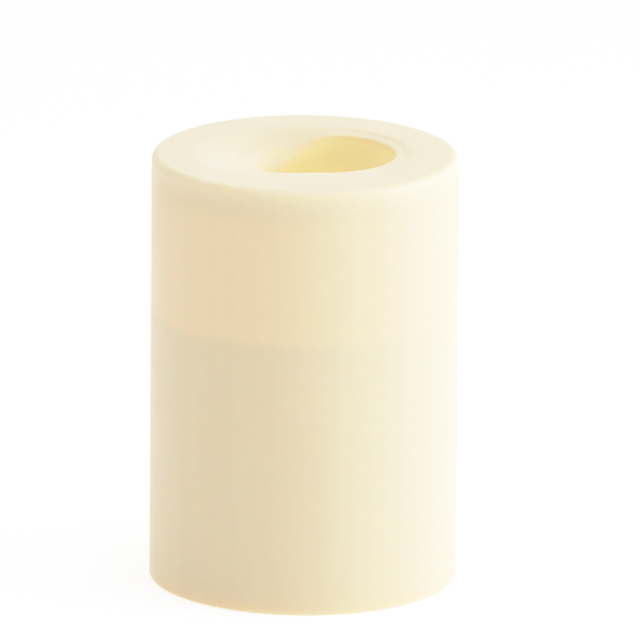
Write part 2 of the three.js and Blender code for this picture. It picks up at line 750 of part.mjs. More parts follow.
function batteryCover() {
  const body = turned([
    [0, BASE_Z],
    [COVER_RADIUS - 0.4, BASE_Z],
    [COVER_RADIUS, BASE_Z + 0.4],
    [COVER_RADIUS, COVER_TOP_Z],
    [COLLAR_INNER - 0.5, COVER_TOP_Z],
    [COLLAR_INNER - 0.5, COVER_TOP_Z + SEAL_SHOULDER],
    [NECK_OUTER, COVER_TOP_Z + SEAL_SHOULDER],
    [NECK_OUTER, NECK_TOP_Z],
    [NECK_INNER, NECK_TOP_Z],
    [NECK_INNER, COVER_TOP_Z],
    [0, COVER_TOP_Z],
  ]);
  const half = THREE.MathUtils.degToRad(11);
  const lugs = lugAngles().map((angle) =>
    threadLength(NECK_OUTER - 0.8, LUG_OUTER, LUG_THICKNESS, LUG_MID_Z, angle - half, angle + half, 3),
  );
  const pegTop = COVER_TOP_Z + 1.4;
  const pegs = [-1, 1].map((side) => post(PEG_RADIUS, COVER_TOP_Z - 0.5, pegTop, side * PEG_X, 0));
  const wall = 1.5;
  const cupShape = fingerOutline(RECESS_RADIUS + wall, GRIP_HALF - wall);
  const recessShape = fingerOutline(RECESS_RADIUS, GRIP_HALF);
  const cups = [];
  const recesses = [];
  for (const turn of [0, Math.PI]) {
    cups.push(plate(cupShape, COVER_TOP_Z - 0.5, RECESS_ROOF_Z + wall, 5).rotateZ(turn));
    recesses.push(plate(recessShape, BASE_Z - 1, RECESS_ROOF_Z, 5).rotateZ(turn));
  }
  return joined(body, [...lugs, ...pegs, ...cups], recesses);
}

function ring(radius, section, z) {
  return new THREE.TorusGeometry(radius, section, 6, SEGMENTS).translate(0, 0, z);
}

function coverSeal() {
  return ring((COLLAR_INNER + COVER_RADIUS) / 2 + 0.1, 0.64, (COVER_TOP_Z + SEAT_Z) / 2);
}

function baseSeal() {
  return ring(BASE_RADIUS - 0.35, 0.38, BASE_Z + BASE_THICKNESS / 2);
}

// ---- The slide switch ----
function switchScrewPlaces() {
  return [-1, 1].map((side) => new THREE.Vector2(side * SWITCH_SCREW_X, SWITCH_Y));
}

// The knob shows in the base's slot, and its slider runs inside the frame.
function switchKnob() {
  const stem = block(
    [KNOB_REST_X - KNOB_HALF_X, SWITCH_Y - KNOB_HALF_Y, BASE_Z - 1.4],
    [KNOB_REST_X + KNOB_HALF_X, SWITCH_Y + KNOB_HALF_Y, SWITCH_FRAME_Z + 1.5],
  );
  const slider = block(
    [KNOB_REST_X - KNOB_HALF_X, SWITCH_Y - 2.2, SWITCH_FRAME_Z + SHEET + RUNNING_GAP],
    [KNOB_REST_X + KNOB_HALF_X, SWITCH_Y + 2.2, SWITCH_FRAME_Z + 2.6],
  );
  return joined(stem, [slider]);
}

// The pressed steel frame: a plate with two ears, a slot for the knob, and four walls that grip the body.
function switchFrame() {
  const top = SWITCH_FRAME_Z + 5.6;
  const ears = block(
    [-SWITCH_SCREW_X - 2, SWITCH_Y - SWITCH_BODY_HALF_Y, SWITCH_FRAME_Z],
    [SWITCH_SCREW_X + 2, SWITCH_Y + SWITCH_BODY_HALF_Y, SWITCH_FRAME_Z + SHEET],
  );
  const can = block(
    [-SWITCH_BODY_HALF_X, SWITCH_Y - SWITCH_BODY_HALF_Y, SWITCH_FRAME_Z],
    [SWITCH_BODY_HALF_X, SWITCH_Y + SWITCH_BODY_HALF_Y, top],
  );
  const hollow = block(
    [-SWITCH_BODY_HALF_X + SHEET, SWITCH_Y - SWITCH_BODY_HALF_Y + SHEET, SWITCH_FRAME_Z + SHEET],
    [SWITCH_BODY_HALF_X - SHEET, SWITCH_Y + SWITCH_BODY_HALF_Y - SHEET, top + 1],
  );
  const slot = block(
    [-SWITCH_SLOT_HALF, SWITCH_Y - KNOB_HALF_Y - GAP, SWITCH_FRAME_Z - 1],
    [SWITCH_SLOT_HALF, SWITCH_Y + KNOB_HALF_Y + GAP, SWITCH_FRAME_Z + 1],
  );
  const holes = switchScrewPlaces().map(({ x, y }) => {
    return post(HOLE_RADIUS, SWITCH_FRAME_Z - 1, SWITCH_FRAME_Z + 1, x, y);
  });
  return joined(ears, [can], [hollow, slot, ...holes]);
}

function switchBody() {
  const inset = SHEET + GAP;
  const body = block(
    [-SWITCH_BODY_HALF_X + inset, SWITCH_Y - SWITCH_BODY_HALF_Y + inset, SWITCH_FRAME_Z + 3],
    [SWITCH_BODY_HALF_X - inset, SWITCH_Y + SWITCH_BODY_HALF_Y - inset, SWITCH_BODY_TOP_Z],
  );
  const top = SWITCH_BODY_TOP_Z;
  const terminals = TERMINAL_X.map((x) => {
    return block([x - 0.7, SWITCH_Y - 0.25, top - 0.5], [x + 0.7, SWITCH_Y + 0.25, top + TERMINAL_RISE]);
  });
  return joined(body, terminals);
}

// ---- Wires, each held along its whole way ----
function wire(points, steps) {
  const route = points.map((point) => new THREE.Vector3(...point));
  const curve = new THREE.CatmullRomCurve3(route, false, "centripetal");
  return tube(curve, WIRE_RADIUS, steps, 6);
}

// From a switch terminal up the front of the housing, through the notch in the skirt, to the board.
function switchWire(index) {
  const x = TERMINAL_X[index];
  const rise = (index - 1) * 1.9;
  const end = BOARD_TOP_Z + GAP + WIRE_RADIUS;
  return wire([
    [x, SWITCH_Y, SWITCH_BODY_TOP_Z + TERMINAL_RISE + 2 * GAP],
    [x * 0.95, SWITCH_Y, 20],
    [rise * 1.2, SWITCH_Y + 3.4, 27],
    [rise, SWITCH_Y + 4.4, 40],
    [rise, SWITCH_Y + 4.4, 60],
    [rise, SWITCH_Y + 5.2, 67],
    [rise, SWITCH_Y + 9, 70.6],
    [rise, SWITCH_Y + 16, 72.4],
    [rise, SWITCH_Y + 22, end + 2.6],
    [rise, SWITCH_Y + 27, end + 0.3],
    [rise, SWITCH_Y + 29, end],
  ], 24);
}

// From an LED lead down the post to the board.
function ledWire(side) {
  const x = side * LEAD_X;
  const end = BOARD_TOP_Z + GAP + WIRE_RADIUS;
  return wire(
    [
      [x, 0, LEAD_BOTTOM_Z - GAP],
      [x, 0, 84],
      [x * 1.2, 1, 80.5],
      [x * 2, 3.6, 77.5],
      [x * 2, 5.6, end + 0.6],
      [x * 2, 7, end],
    ],
    12,
  );
}

// ---- Assembly ----
const candle = new THREE.Group();

function place(name, geometry, surface) {
  const mesh = new THREE.Mesh(geometry, surface.clone());
  mesh.name = name;
  candle.add(mesh);
}

place("candle_shell", candleShell(), WAX_IVORY);
place("led_grommet", ledGrommet(), SILICONE);
place("led", led(), AMBER);
place("led_lead_positive", ledLead(-1), STEEL);
place("led_lead_negative", ledLead(1), STEEL);
place("led_wire_positive", ledWire(-1), WIRE_RED);
place("led_wire_negative", ledWire(1), WIRE_BLACK);

place("module_cap", moduleCap(), DECK_WHITE);
place("battery_housing", batteryHousing(), HOUSING_BLACK);
place("base_plate", basePlate(), BASE_IVORY);
place("base_seal", baseSeal(), RUBBER);
place("battery_cover", batteryCover(), BASE_IVORY);
place("cover_seal", coverSeal(), RUBBER);

place("circuit_board", circuitBoard(), BOARD_GREEN);
place("timer_chip", timerChip(), CHIP_BLACK);
place("timing_crystal", timingCrystal(), STEEL);
place("smoothing_capacitor", smoothingCapacitor(), CAPACITOR_BLUE);
place("led_resistor", resistor(-7, 11), RESISTOR_TAN);
place("timer_resistor", resistor(-9, 1.5), RESISTOR_TAN);
place("driver_transistor", driverTransistor(), CHIP_BLACK);

place("battery_cell_left", batteryCell(-1), CELL_JACKET);
place("battery_cell_right", batteryCell(1), CELL_JACKET);
place("positive_contact", roofContact(-1, POSITIVE_SHEET_Z, POSITIVE_TAB_Y, POSITIVE_DISC_RADIUS), NICKEL);
place("negative_contact", roofContact(1, NEGATIVE_SHEET_Z, NEGATIVE_TAB_Y, NEGATIVE_DISC_RADIUS), NICKEL);
place("negative_spring", negativeSpring(), STEEL);
place("bridge_contact", bridgeContact(), NICKEL);
place("bridge_spring", bridgeSpring(), STEEL);

place("switch_knob", switchKnob(), CHIP_BLACK);
place("switch_frame", switchFrame(), STEEL);
place("switch_body", switchBody(), CHIP_BLACK);
["on", "common", "timer"].forEach((name, i) => {
  place(`switch_wire_${name}`, switchWire(i), [WIRE_RED, WIRE_BLACK, WIRE_WHITE][i]);
});

baseScrewPlaces().forEach(({ x, y }, i) => {
  place(`base_screw_${i + 1}`, screw(x, y, BASE_Z + 1, SCREW_LENGTH.base), STEEL);
});
housingScrewPlaces().forEach(({ x, y }, i) => {
  const face = HOUSING_Z + 2 + GAP + SCREW_HEAD_HEIGHT;
  place(`housing_screw_${i + 1}`, screw(x, y, face, SCREW_LENGTH.housing, -1), STEEL);
});
capScrewPlaces().forEach(({ x, y }, i) => {
  const face = TRAY_Z - GAP - SCREW_HEAD_HEIGHT;
  place(`cap_screw_${i + 1}`, screw(x, y, face, SCREW_LENGTH.cap), STEEL);
});
boardScrewPlaces().forEach(({ x, y }, i) => {
  const face = BOARD_TOP_Z + GAP + SCREW_HEAD_HEIGHT;
  place(`board_screw_${i + 1}`, screw(x, y, face, SCREW_LENGTH.board, -1), STEEL);
});
switchScrewPlaces().forEach(({ x, y }, i) => {
  const face = SWITCH_FRAME_Z + SHEET + GAP + SCREW_HEAD_HEIGHT;
  const made = screw(x, y, face, SCREW_LENGTH.switch, -1, SWITCH_SCREW_HEAD_RADIUS);
  place(`switch_screw_${i + 1}`, made, STEEL);
});

export default candle;
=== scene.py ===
"""Looks for the flameless pillar candle: a translucent ivory shell lit from inside, and its works."""
import math

import bmesh
import bpy
from mathutils import Matrix, Vector


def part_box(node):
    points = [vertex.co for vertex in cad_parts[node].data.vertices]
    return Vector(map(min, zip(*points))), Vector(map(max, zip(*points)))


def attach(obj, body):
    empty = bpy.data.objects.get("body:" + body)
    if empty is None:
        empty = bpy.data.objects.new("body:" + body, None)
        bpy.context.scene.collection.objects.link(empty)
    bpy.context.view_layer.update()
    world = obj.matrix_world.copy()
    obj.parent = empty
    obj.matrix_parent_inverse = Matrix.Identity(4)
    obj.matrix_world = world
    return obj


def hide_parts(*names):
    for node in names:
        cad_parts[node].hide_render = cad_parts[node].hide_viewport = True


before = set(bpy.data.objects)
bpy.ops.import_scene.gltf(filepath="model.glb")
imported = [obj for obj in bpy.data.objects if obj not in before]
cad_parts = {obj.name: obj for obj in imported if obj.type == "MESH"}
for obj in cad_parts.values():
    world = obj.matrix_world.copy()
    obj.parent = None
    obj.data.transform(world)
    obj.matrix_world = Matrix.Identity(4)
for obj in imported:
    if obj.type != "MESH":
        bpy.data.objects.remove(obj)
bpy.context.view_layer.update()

MM = 0.001  # shapes are made in millimetres and brought to metres when they become objects


def box(node):
    """Lowest and highest corner of a CAD node, in millimetres."""
    low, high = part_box(node)
    return low / MM, high / MM


def middle_of(node):
    low, high = box(node)
    return (low + high) / 2


# ---- Sizes taken from the frame ----
RADIUS = box("candle_shell")[1].x
HEIGHT = box("candle_shell")[1].z
BASE_Z = box("base_plate")[0].z  # the underside's face
BASE_RADIUS = box("base_plate")[1].x
COVER_RADIUS = box("battery_cover")[1].x
COLLAR_TOP_Z = box("base_plate")[1].z
NECK_TOP_Z = box("battery_cover")[1].z
TRAY_TOP_Z = box("module_cap")[0].z - 0.3
BOARD_LOW, BOARD_HIGH = box("circuit_board")
LED_LOW, LED_HIGH = box("led")
POST_TOP_Z = box("module_cap")[1].z
DECK_TOP_Z = TRAY_TOP_Z + 18.5  # where the glow on the wall begins

# ---- Places that several parts share ----
CELL_X = 13.8  # the right cell's axis; the left cell's is at minus this
TAB_PLACES = ((-CELL_X, 6), (CELL_X, 6.5))  # where the contacts' tabs go up through the tray and the board
CAP_SCREWS = ((-15.5, -21), (-15.5, 21), (15.5, -21), (15.5, 21))
BOARD_POSTS = ((-16, -11), (-16, 11), (16, -11), (16, 11))
BOARD_SCREWS = BOARD_POSTS[1:3]
HOUSING_SCREW_RADIUS = 36.9
HOUSING_SCREW_ANGLES = (45, 135, 225, 315)
BASE_SCREW_RADIUS = 38.9
BASE_SCREW_ANGLES = (90, 210, 330)
SWITCH_Y = -38.8
SWITCH_SCREWS = ((-8.9, SWITCH_Y), (8.9, SWITCH_Y))
TERMINALS_X = (-3.6, 0, 3.6)
WIRE_STEP = 1.9  # between the switch's wires up the front of the housing
WIRE_OVER_BOARD = 0.9
SCREW_HOLE = 1.7
LUG_ANGLES = (30, 150, 270)
COVER_LEAD = 12  # how far the cover drops in a whole turn
COVER_TURN = 63  # degrees from locked to open
PEGS = ((-5, 0), (5, 0))  # the cover's pegs through the bridge contact
LEG_STEP = 1.27  # between the chip's legs and between the transistor's, and from the LED's axis to its own
CRYSTAL_LEAD_X = -12.1
CRYSTAL_LEADS = ((CRYSTAL_LEAD_X, -6.05), (CRYSTAL_LEAD_X, -4.95))

# ---- The shell's own sizes ----
WALL = 3
DISH_RADIUS = 34.8
MOUTH_RADIUS = 23
SOFT_MOUTH_RADIUS = 16.5
MOUTH_OFFSET = Vector((4.6, 3.0, 0))
SOFT_SIDE = math.radians(172)  # the direction in which the mouth's edge is melted most
WELL_FLOOR_Z = 101
WELL_FLOOR_THICKNESS = 2.4
LED_HOLE = 4.3
EDGE_ROUND = 2.4
FOOT_ROUND = 1
SHELL_SIDES = 192
WALL_GLOW = Vector((0.09, 0.032, 0.0))
GLOW_SIDE = math.radians(242)  # the direction in which the wall glows most
# painted light on the round of the top edge, lifting the shade there; it is not light from inside
EDGE_PAINTED_LIGHT = Vector((0.055, 0.058, 0.048))
WELL_GLOW = Vector((0.25, 0.22, 0.065))


# ---- Small helpers ----
def smoothstep(start, end, value):
    """0 at start, 1 at end, which may be below start."""
    t = min(1.0, max(0.0, (value - start) / (end - start)))
    return t * t * (3 - 2 * t)


def mix(a, b, t):
    return a + (b - a) * t


def polar(radius, degrees):
    angle = math.radians(degrees)
    return radius * math.cos(angle), radius * math.sin(angle)


# ---- Solids ----
class Shape:
    """A closed mesh in millimetres: points, and faces as lists of point numbers."""

    def __init__(self, points, faces):
        self.points = [Vector(point) for point in points]
        self.faces = [list(face) for face in faces]

    def mapped(self, change):
        return Shape([change(point) for point in self.points], self.faces)

    def moved(self, x=0, y=0, z=0):
        step = Vector((x, y, z))
        return self.mapped(lambda point: point + step)

    def turned(self, degrees, axis="Z"):
        turn = Matrix.Rotation(math.radians(degrees), 3, axis)
        return self.mapped(lambda point: turn @ point)

    def mesh(self, name, scale=1.0):
        mesh = bpy.data.meshes.new(name)
        mesh.from_pydata([tuple(point * scale) for point in self.points], [], self.faces)
        sides = bmesh.new()
        sides.from_mesh(mesh)
        bmesh.ops.recalc_face_normals(sides, faces=sides.faces)
        sides.to_mesh(mesh)
        sides.free()
        return mesh


def merged(shapes):
    """Several shapes that don't touch, as one."""
    points = []
    faces = []
    for shape in shapes:
        first = len(points)
        points += shape.points
        faces += [[first + i for i in face] for face in shape.faces]
    return Shape(points, faces)


def carved(body, add=(), cut=()):
    """The body with the shapes in add joined to it, and then those in cut taken out."""
    collection = bpy.context.scene.collection
    target = bpy.data.objects.new("carved", body.mesh("carved"))
    collection.objects.link(target)
    tools = []
    for operation, shapes in (("UNION", add), ("DIFFERENCE", cut)):
        for shape in shapes:
            tool = bpy.data.objects.new("tool", shape.mesh("tool"))
            collection.objects.link(tool)
            tools.append(tool)
            modifier = target.modifiers.new("carve", "BOOLEAN")
            modifier.operation = operation
            modifier.solver = "MANIFOLD"
            modifier.object = tool
    result = target.evaluated_get(bpy.context.evaluated_depsgraph_get()).to_mesh()
    made = Shape([point.co for point in result.vertices], [face.vertices for face in result.polygons])
    for used in [target, *tools]:
        mesh = used.data
        bpy.data.objects.remove(used)
        bpy.data.meshes.remove(mesh)
    return made


def around(shape, angles):
    """Copies of a shape turned about Z, one for each angle."""
    return [shape.turned(angle) for angle in angles]


def placed(shape, places):
    """Copies of a shape, one at each (x, y) place."""
    return [shape.moved(x, y) for x, y in places]


def loft(loops, closed=False):
    """Loops of equal count joined one to the next; the ends are capped, or joined to each other if closed."""
    count = len(loops[0])
    points = [point for loop in loops for point in loop]
    faces = []
    pairs = len(loops) if closed else len(loops) - 1
    for i in range(pairs):
        here = i * count
        there = (i + 1) % len(loops) * count
        for k in range(count):
            m = (k + 1) % count
            faces.append([here + k, here + m, there + m, there + k])
    if not closed:
        faces.append(list(range(count))[::-1])
        faces.append([len(points) - count + k for k in range(count)])
    return Shape(points, faces)


def lathe(profile, sides=48):
    """A solid of revolution from (radius, z) points, which end on the axis or close on themselves."""
    points = []
    rings = []
    for radius, z in profile:
        first = len(points)
        if radius < 1e-6:
            rings.append([first] * sides)
            points.append((0, 0, z))
        else:
            rings.append([first + k for k in range(sides)])
            points += [(*polar(radius, 360 * k / sides), z) for k in range(sides)]
    followers = rings[1:] + (rings[:1] if profile[0][0] > 0 else [])
    faces = []
    for below, above in zip(rings, followers):
        for k in range(sides):
            m = (k + 1) % sides
            corners = list(dict.fromkeys([below[k], below[m], above[m], above[k]]))
            if len(corners) > 2:
                faces.append(corners)
    return Shape(points, faces)


def arc(x, y, radius, start, end, steps):
    """Points round (x, y) from one angle to another, in degrees."""
    points = []
    for i in range(steps + 1):
        dx, dy = polar(radius, mix(start, end, i / steps))
        points.append((x + dx, y + dy))
    return points


def rounded(outline, reach, closed=True, steps=3):
    """The outline with its corners rounded from that distance before each, less where a side is short."""
    made = []
    last = len(outline) - 1
    for i, point in enumerate(outline):
        if not closed and i in (0, last):
            made.append(point)
            continue
        corner = Vector(point)
        before = Vector(outline[i - 1]) - corner
        after = Vector(outline[(i + 1) % len(outline)]) - corner
        length = min(reach, 0.45 * before.length, 0.45 * after.length)
        start = corner + before.normalized() * length
        end = corner + after.normalized() * length
        for k in range(steps + 1):
            t = k / steps
            made.append(tuple(start.lerp(corner, t).lerp(corner.lerp(end, t), t)))
    return made


def spun(outline, reach, sides=48):
    """A solid of revolution with rounded corners. An outline that starts on the axis ends on it too."""
    return lathe(rounded(outline, reach, outline[0][0] > 0), sides)


def hoop(inner, outer, low, high, reach, sides):
    return spun([(inner, low), (outer, low), (outer, high), (inner, high)], reach, sides)


def inset(outline, depth):
    """An anticlockwise outline moved inwards by depth."""
    made = []
    for i, point in enumerate(outline):
        here = Vector(point)
        back = (here - Vector(outline[i - 1])).normalized()
        ahead = (Vector(outline[(i + 1) % len(outline)]) - here).normalized()
        both = Vector((-back.y - ahead.y, back.x + ahead.x))
        made.append(tuple(here + both * depth / (1 + back.dot(ahead))))
    return made


def layers(outline, depths):
    """A solid whose outline is inset by a depth at each height, from (depth, z) pairs."""
    return loft([[(x, y, z) for x, y in inset(outline, depth)] for depth, z in depths])


def slab(outline, low, high, bevel=0.25):
    """A plate of that outline between two heights, with rounded edges."""
    steps = 3
    quarter = [polar(1, 90 * i / steps) for i in range(steps + 1)]
    edge = [(bevel * (1 - sine), bevel * (1 - cosine)) for cosine, sine in quarter]
    depths = [(depth, low + rise) for depth, rise in edge]
    depths += [(depth, high - rise) for depth, rise in reversed(edge)]
    return layers(outline, depths)


def oblong(half, radius):
    """Two half circles at x = -half and x = half, joined by straight sides."""
    return arc(half, 0, radius, -90, 90, 24) + arc(-half, 0, radius, 90, 270, 24)


def side_slab(outline, width, x=0, bevel=0.04):
    """A plate whose outline is seen along X: (y, z) points, with its middle at x."""
    plate = slab(outline, -width / 2, width / 2, bevel)
    return plate.mapped(lambda point: Vector((point.z, point.x, point.y))).moved(x)


def rectangle(x0, y0, x1, y1, corner=0.3):
    return rounded([(x0, y0), (x1, y0), (x1, y1), (x0, y1)], corner)


def block(low, high, bevel=0.15):
    """A box with rounded edges from its lowest to its highest corner."""
    return slab(rectangle(low[0], low[1], high[0], high[1], 2 * bevel), low[2], high[2], bevel)


def post(radius, low, high, bevel=0.2, sides=32):
    return spun([(0, low), (radius, low), (radius, high), (0, high)], bevel, sides)


def pocket(outline, face, roof, mouth=0.3, fillet=0.1):
    """What to cut away for a pocket up from the face, with a flared mouth and rounded roof edges."""
    beyond = 0.5
    depths = [(-mouth - beyond, face - beyond), (0, face + mouth)]
    for i in range(4):
        c, s = polar(fillet, 30 * i)
        depths.append((fillet - c, roof - fillet + s))
    return layers(outline, depths)


def bore(radius, face, roof, mouth=0.2):
    return pocket(arc(0, 0, radius, 0, 348.75, 31), face, roof, mouth)


def tube(path, radius, sides=12):
    """A round wire along a path, with rounded ends."""
    path = [Vector(point) for point in path]
    nip = 0.3 * radius
    first = path[0] + (path[1] - path[0]).normalized() * nip
    last = path[-1] + (path[-2] - path[-1]).normalized() * nip
    path = [path[0], first, *path[1:-1], last, path[-1]]
    normal = Vector((0.31, 0.52, 0.79))
    loops = []
    for i, point in enumerate(path):
        ahead = (path[min(i + 1, len(path) - 1)] - path[max(i - 1, 0)]).normalized()
        normal = (normal - ahead * normal.dot(ahead)).normalized()
        across = ahead.cross(normal)
        size = radius - nip if i in (0, len(path) - 1) else radius
        ring = (polar(size, 360 * k / sides) for k in range(sides))
        loops.append([point + normal * u + across * v for u, v in ring])
    return loft(loops)


def smooth_path(points, steps=8):
    """A centripetal Catmull-Rom curve through the points."""
    points = [Vector(point) for point in points]
    row = [2 * points[0] - points[1], *points, 2 * points[-1] - points[-2]]
    path = []
    for a, b, c, d in zip(row, row[1:], row[2:], row[3:]):
        first, middle, last = ((q - p).length ** 0.5 for p, q in ((a, b), (b, c), (c, d)))
        leave = ((b - a) / first - (c - a) / (first + middle) + (c - b) / middle) * middle
        arrive = ((c - b) / middle - (d - b) / (middle + last) + (d - c) / last) * middle
        for i in range(steps):
            t = i / steps
            ends = b * (2 * t ** 3 - 3 * t ** 2 + 1) + c * (3 * t ** 2 - 2 * t ** 3)
            path.append(ends + leave * (t ** 3 - 2 * t ** 2 + t) + arrive * (t ** 3 - t ** 2))
    return [*path, points[-1]]


def helix(x, foot, top, low, high, turns):
    """A coil's path round (x, 0): closed turns at both ends, and an even climb between them."""
    steps = 28
    count = round(turns * steps)
    path = []
    for i in range(count + 1):
        t = i / count
        climb = min(1.0, max(0.0, (t * turns - 0.6) / (turns - 1.2)))
        dx, dy = polar(mix(foot, top, t), 360 * i / steps)
        path.append((x + dx, dy, mix(low, high, climb)))
    return path


def thread_length(inner, outer, thickness, mid_z, start, end):
    """A length of the cover's thread from one angle to another, in degrees."""
    section = rounded([(inner, -thickness / 2), (outer, -thickness / 2), (outer, thickness / 2),
                       (inner, thickness / 2)], 0.35)
    steps = max(4, round((end - start) / 3))
    loops = []
    for i in range(steps + 1):
        turn = mix(start, end, i / steps)
        rise = mid_z + COVER_LEAD * (turn - (start + end) / 2) / 360
        tip = 0.75 if i in (0, steps) else 1
        loops.append([(*polar(mix(inner, r, tip), turn), rise + z * tip) for r, z in section])
    return loft(loops)


# ---- Objects ----
def make_object(name, mesh, materials, angle=35):
    for material in materials:
        mesh.materials.append(material)
    mesh.shade_smooth()
    mesh.set_sharp_from_angle(angle=math.radians(angle))
    obj = bpy.data.objects.new(name, mesh)
    bpy.context.scene.collection.objects.link(obj)
    return obj


def build(name, shape, material, slot, nodes=(), body="candle", angle=35):
    """An object made from a shape. It rides on body and stands for the CAD nodes; slot is not used."""
    obj = make_object(name, shape.mesh(name, MM), [material], angle)
    weigh = obj.modifiers.new("weigh", "WEIGHTED_NORMAL")
    weigh.keep_sharp = True
    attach(obj, body)
    if nodes:
        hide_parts(*nodes)
    return obj


# ---- Materials ----
class Surface:
    """A Principled material whose colour, roughness and bump come from nodes."""

    def __init__(self, name, roughness=0.5, metallic=0.0, **sockets):
        self.material = bpy.data.materials.new(name)
        self.material.use_nodes = True
        self.nodes = self.material.node_tree.nodes
        self.links = self.material.node_tree.links
        self.shader = self.nodes["Principled BSDF"]
        self.shader.inputs["Roughness"].default_value = roughness
        self.shader.inputs["Metallic"].default_value = metallic
        for socket, value in sockets.items():
            self.shader.inputs[socket.replace("_", " ")].default_value = value
        self.where = self.nodes.new("ShaderNodeTexCoord").outputs["Object"]

    def noise(self, scale, detail=3.0, stretch=(1, 1, 1)):
        mapping = self.nodes.new("ShaderNodeMapping")
        mapping.inputs["Scale"].default_value = stretch
        self.links.new(self.where, mapping.inputs["Vector"])
        texture = self.nodes.new("ShaderNodeTexNoise")
        texture.inputs["Scale"].default_value = scale
        texture.inputs["Detail"].default_value = detail
        self.links.new(mapping.outputs["Vector"], texture.inputs["Vector"])
        return texture.outputs["Fac"]

    def height(self, low, high):
        """0 at one height of the object and 1 at the other, in millimetres."""
        parts = self.nodes.new("ShaderNodeSeparateXYZ")
        self.links.new(self.where, parts.inputs["Vector"])
        change = self.nodes.new("ShaderNodeMapRange")
        change.inputs["From Min"].default_value = low * MM
        change.inputs["From Max"].default_value = high * MM
        self.links.new(parts.outputs["Z"], change.inputs["Value"])
        return change.outputs["Result"]

    def ramp(self, source, stops, stepped=False):
        ramp = self.nodes.new("ShaderNodeValToRGB")
        if stepped:
            ramp.color_ramp.interpolation = "CONSTANT"
        elements = ramp.color_ramp.elements
        while len(elements) < len(stops):
            elements.new(0.5)
        for element, (position, colour) in zip(elements, stops):
            element.position = position
            element.color = (*colour, 1)
        self.links.new(source, ramp.inputs["Fac"])
        return ramp.outputs["Color"]

    def blended(self, share, first, second):
        """The second colour over the first by share."""
        blend = self.nodes.new("ShaderNodeMix")
        blend.data_type = "RGBA"
        self.links.new(share, blend.inputs["Factor"])
        self.links.new(first, blend.inputs["A"])
        self.links.new(second, blend.inputs["B"])
        return blend.outputs["Result"]

    def spread(self, source, low, high):
        """A roughness that varies from low to high with a 0 to 1 source."""
        change = self.nodes.new("ShaderNodeMapRange")
        change.inputs["To Min"].default_value = low
        change.inputs["To Max"].default_value = high
        self.links.new(source, change.inputs["Value"])
        self.links.new(change.outputs["Result"], self.shader.inputs["Roughness"])

    def colour(self, source):
        self.links.new(source, self.shader.inputs["Base Color"])

    def bump(self, source, strength, depth):
        bump = self.nodes.new("ShaderNodeBump")
        bump.inputs["Strength"].default_value = strength
        bump.inputs["Distance"].default_value = depth * MM
        self.links.new(source, bump.inputs["Height"])
        self.links.new(bump.outputs["Normal"], self.shader.inputs["Normal"])

    def tones(self, scale, dark, light):
        """A colour that wanders between two tones."""
        self.colour(self.ramp(self.noise(scale), [(0.3, dark), (0.7, light)]))

    def attribute(self, name):
        node = self.nodes.new("ShaderNodeAttribute")
        node.attribute_name = name
        return node.outputs["Color"]


def mottled(name, dark, light, roughness, grain=1200, depth=0.03, scale=110, **sockets):
    """A material whose colour wanders between two tones, with uneven gloss and a fine relief."""
    surface = Surface(name, roughness, **sockets)
    surface.tones(scale, dark, light)
    surface.spread(surface.noise(3 * scale), roughness - 0.07, roughness + 0.07)
    surface.bump(surface.noise(grain), 0.4, depth)
    return surface.material


def brushed(name, dark, light, roughness, stretch=(1, 1, 12)):
    """A metal with fine drawn lines and small stains."""
    surface = Surface(name, roughness, metallic=1.0)
    surface.colour(surface.ramp(surface.noise(240), [(0.35, dark), (0.65, light)]))
    lines = surface.noise(900, stretch=stretch)
    surface.spread(lines, roughness - 0.08, roughness + 0.14)
    surface.bump(lines, 0.3, 0.01)
    return surface.material


def wax_resin():
    """Translucent ivory with painted top light: paler on the rim and the top of the wall, deeper and faintly
    streaked down the wall, and lit from inside.
    """
    surface = Surface("wax_resin", 0.42, Specular_IOR_Level=0.55)
    cloud = surface.noise(28, detail=4, stretch=(1, 1, 0.5))
    # painted top light: the rim and the top of the wall get a paler tone than the wall below
    rim_tone_painted_lighter = surface.ramp(cloud, [(0.25, (0.865, 0.7, 0.47)), (0.75, (0.89, 0.725, 0.495))])
    streaks = surface.noise(280, detail=2, stretch=(1, 1, 0.04))
    deep = surface.ramp(streaks, [(0.25, (0.795, 0.635, 0.421)), (0.75, (0.811, 0.651, 0.436))])
    surface.colour(surface.blended(surface.height(134, 127), rim_tone_painted_lighter, deep))
    surface.spread(surface.noise(90, detail=4), 0.38, 0.52)
    surface.bump(surface.noise(420), 0.25, 0.06)
    surface.links.new(surface.attribute("glow"), surface.shader.inputs["Emission Color"])
    surface.shader.inputs["Emission Strength"].default_value = 1.0
    surface.shader.inputs["Subsurface Weight"].default_value = 0.5
    surface.shader.inputs["Subsurface Radius"].default_value = (1.0, 0.62, 0.3)
    surface.shader.inputs["Subsurface Scale"].default_value = 7 * MM
    return surface.material


def silicone():
    surface = Surface("silicone", 0.55, Subsurface_Weight=0.4, Subsurface_Scale=1.5 * MM)
    surface.tones(200, (0.74, 0.64, 0.45), (0.8, 0.71, 0.52))
    surface.bump(surface.noise(1500), 0.3, 0.02)
    return surface.material


def led_lens():
    surface = Surface("led_lens", 0.12, Transmission_Weight=0.75, IOR=1.54)
    surface.tones(300, (1.0, 0.66, 0.28), (1.0, 0.72, 0.34))
    surface.spread(surface.noise(700), 0.08, 0.2)
    surface.shader.inputs["Emission Color"].default_value = (1.0, 0.62, 0.22, 1)
    surface.shader.inputs["Emission Strength"].default_value = 0.9
    return surface.material


def led_die():
    surface = Surface("led_die", 0.4)
    surface.tones(2000, (0.9, 0.6, 0.2), (1.0, 0.75, 0.3))
    surface.shader.inputs["Emission Color"].default_value = (1.0, 0.72, 0.32, 1)
    surface.shader.inputs["Emission Strength"].default_value = 8
    return surface.material


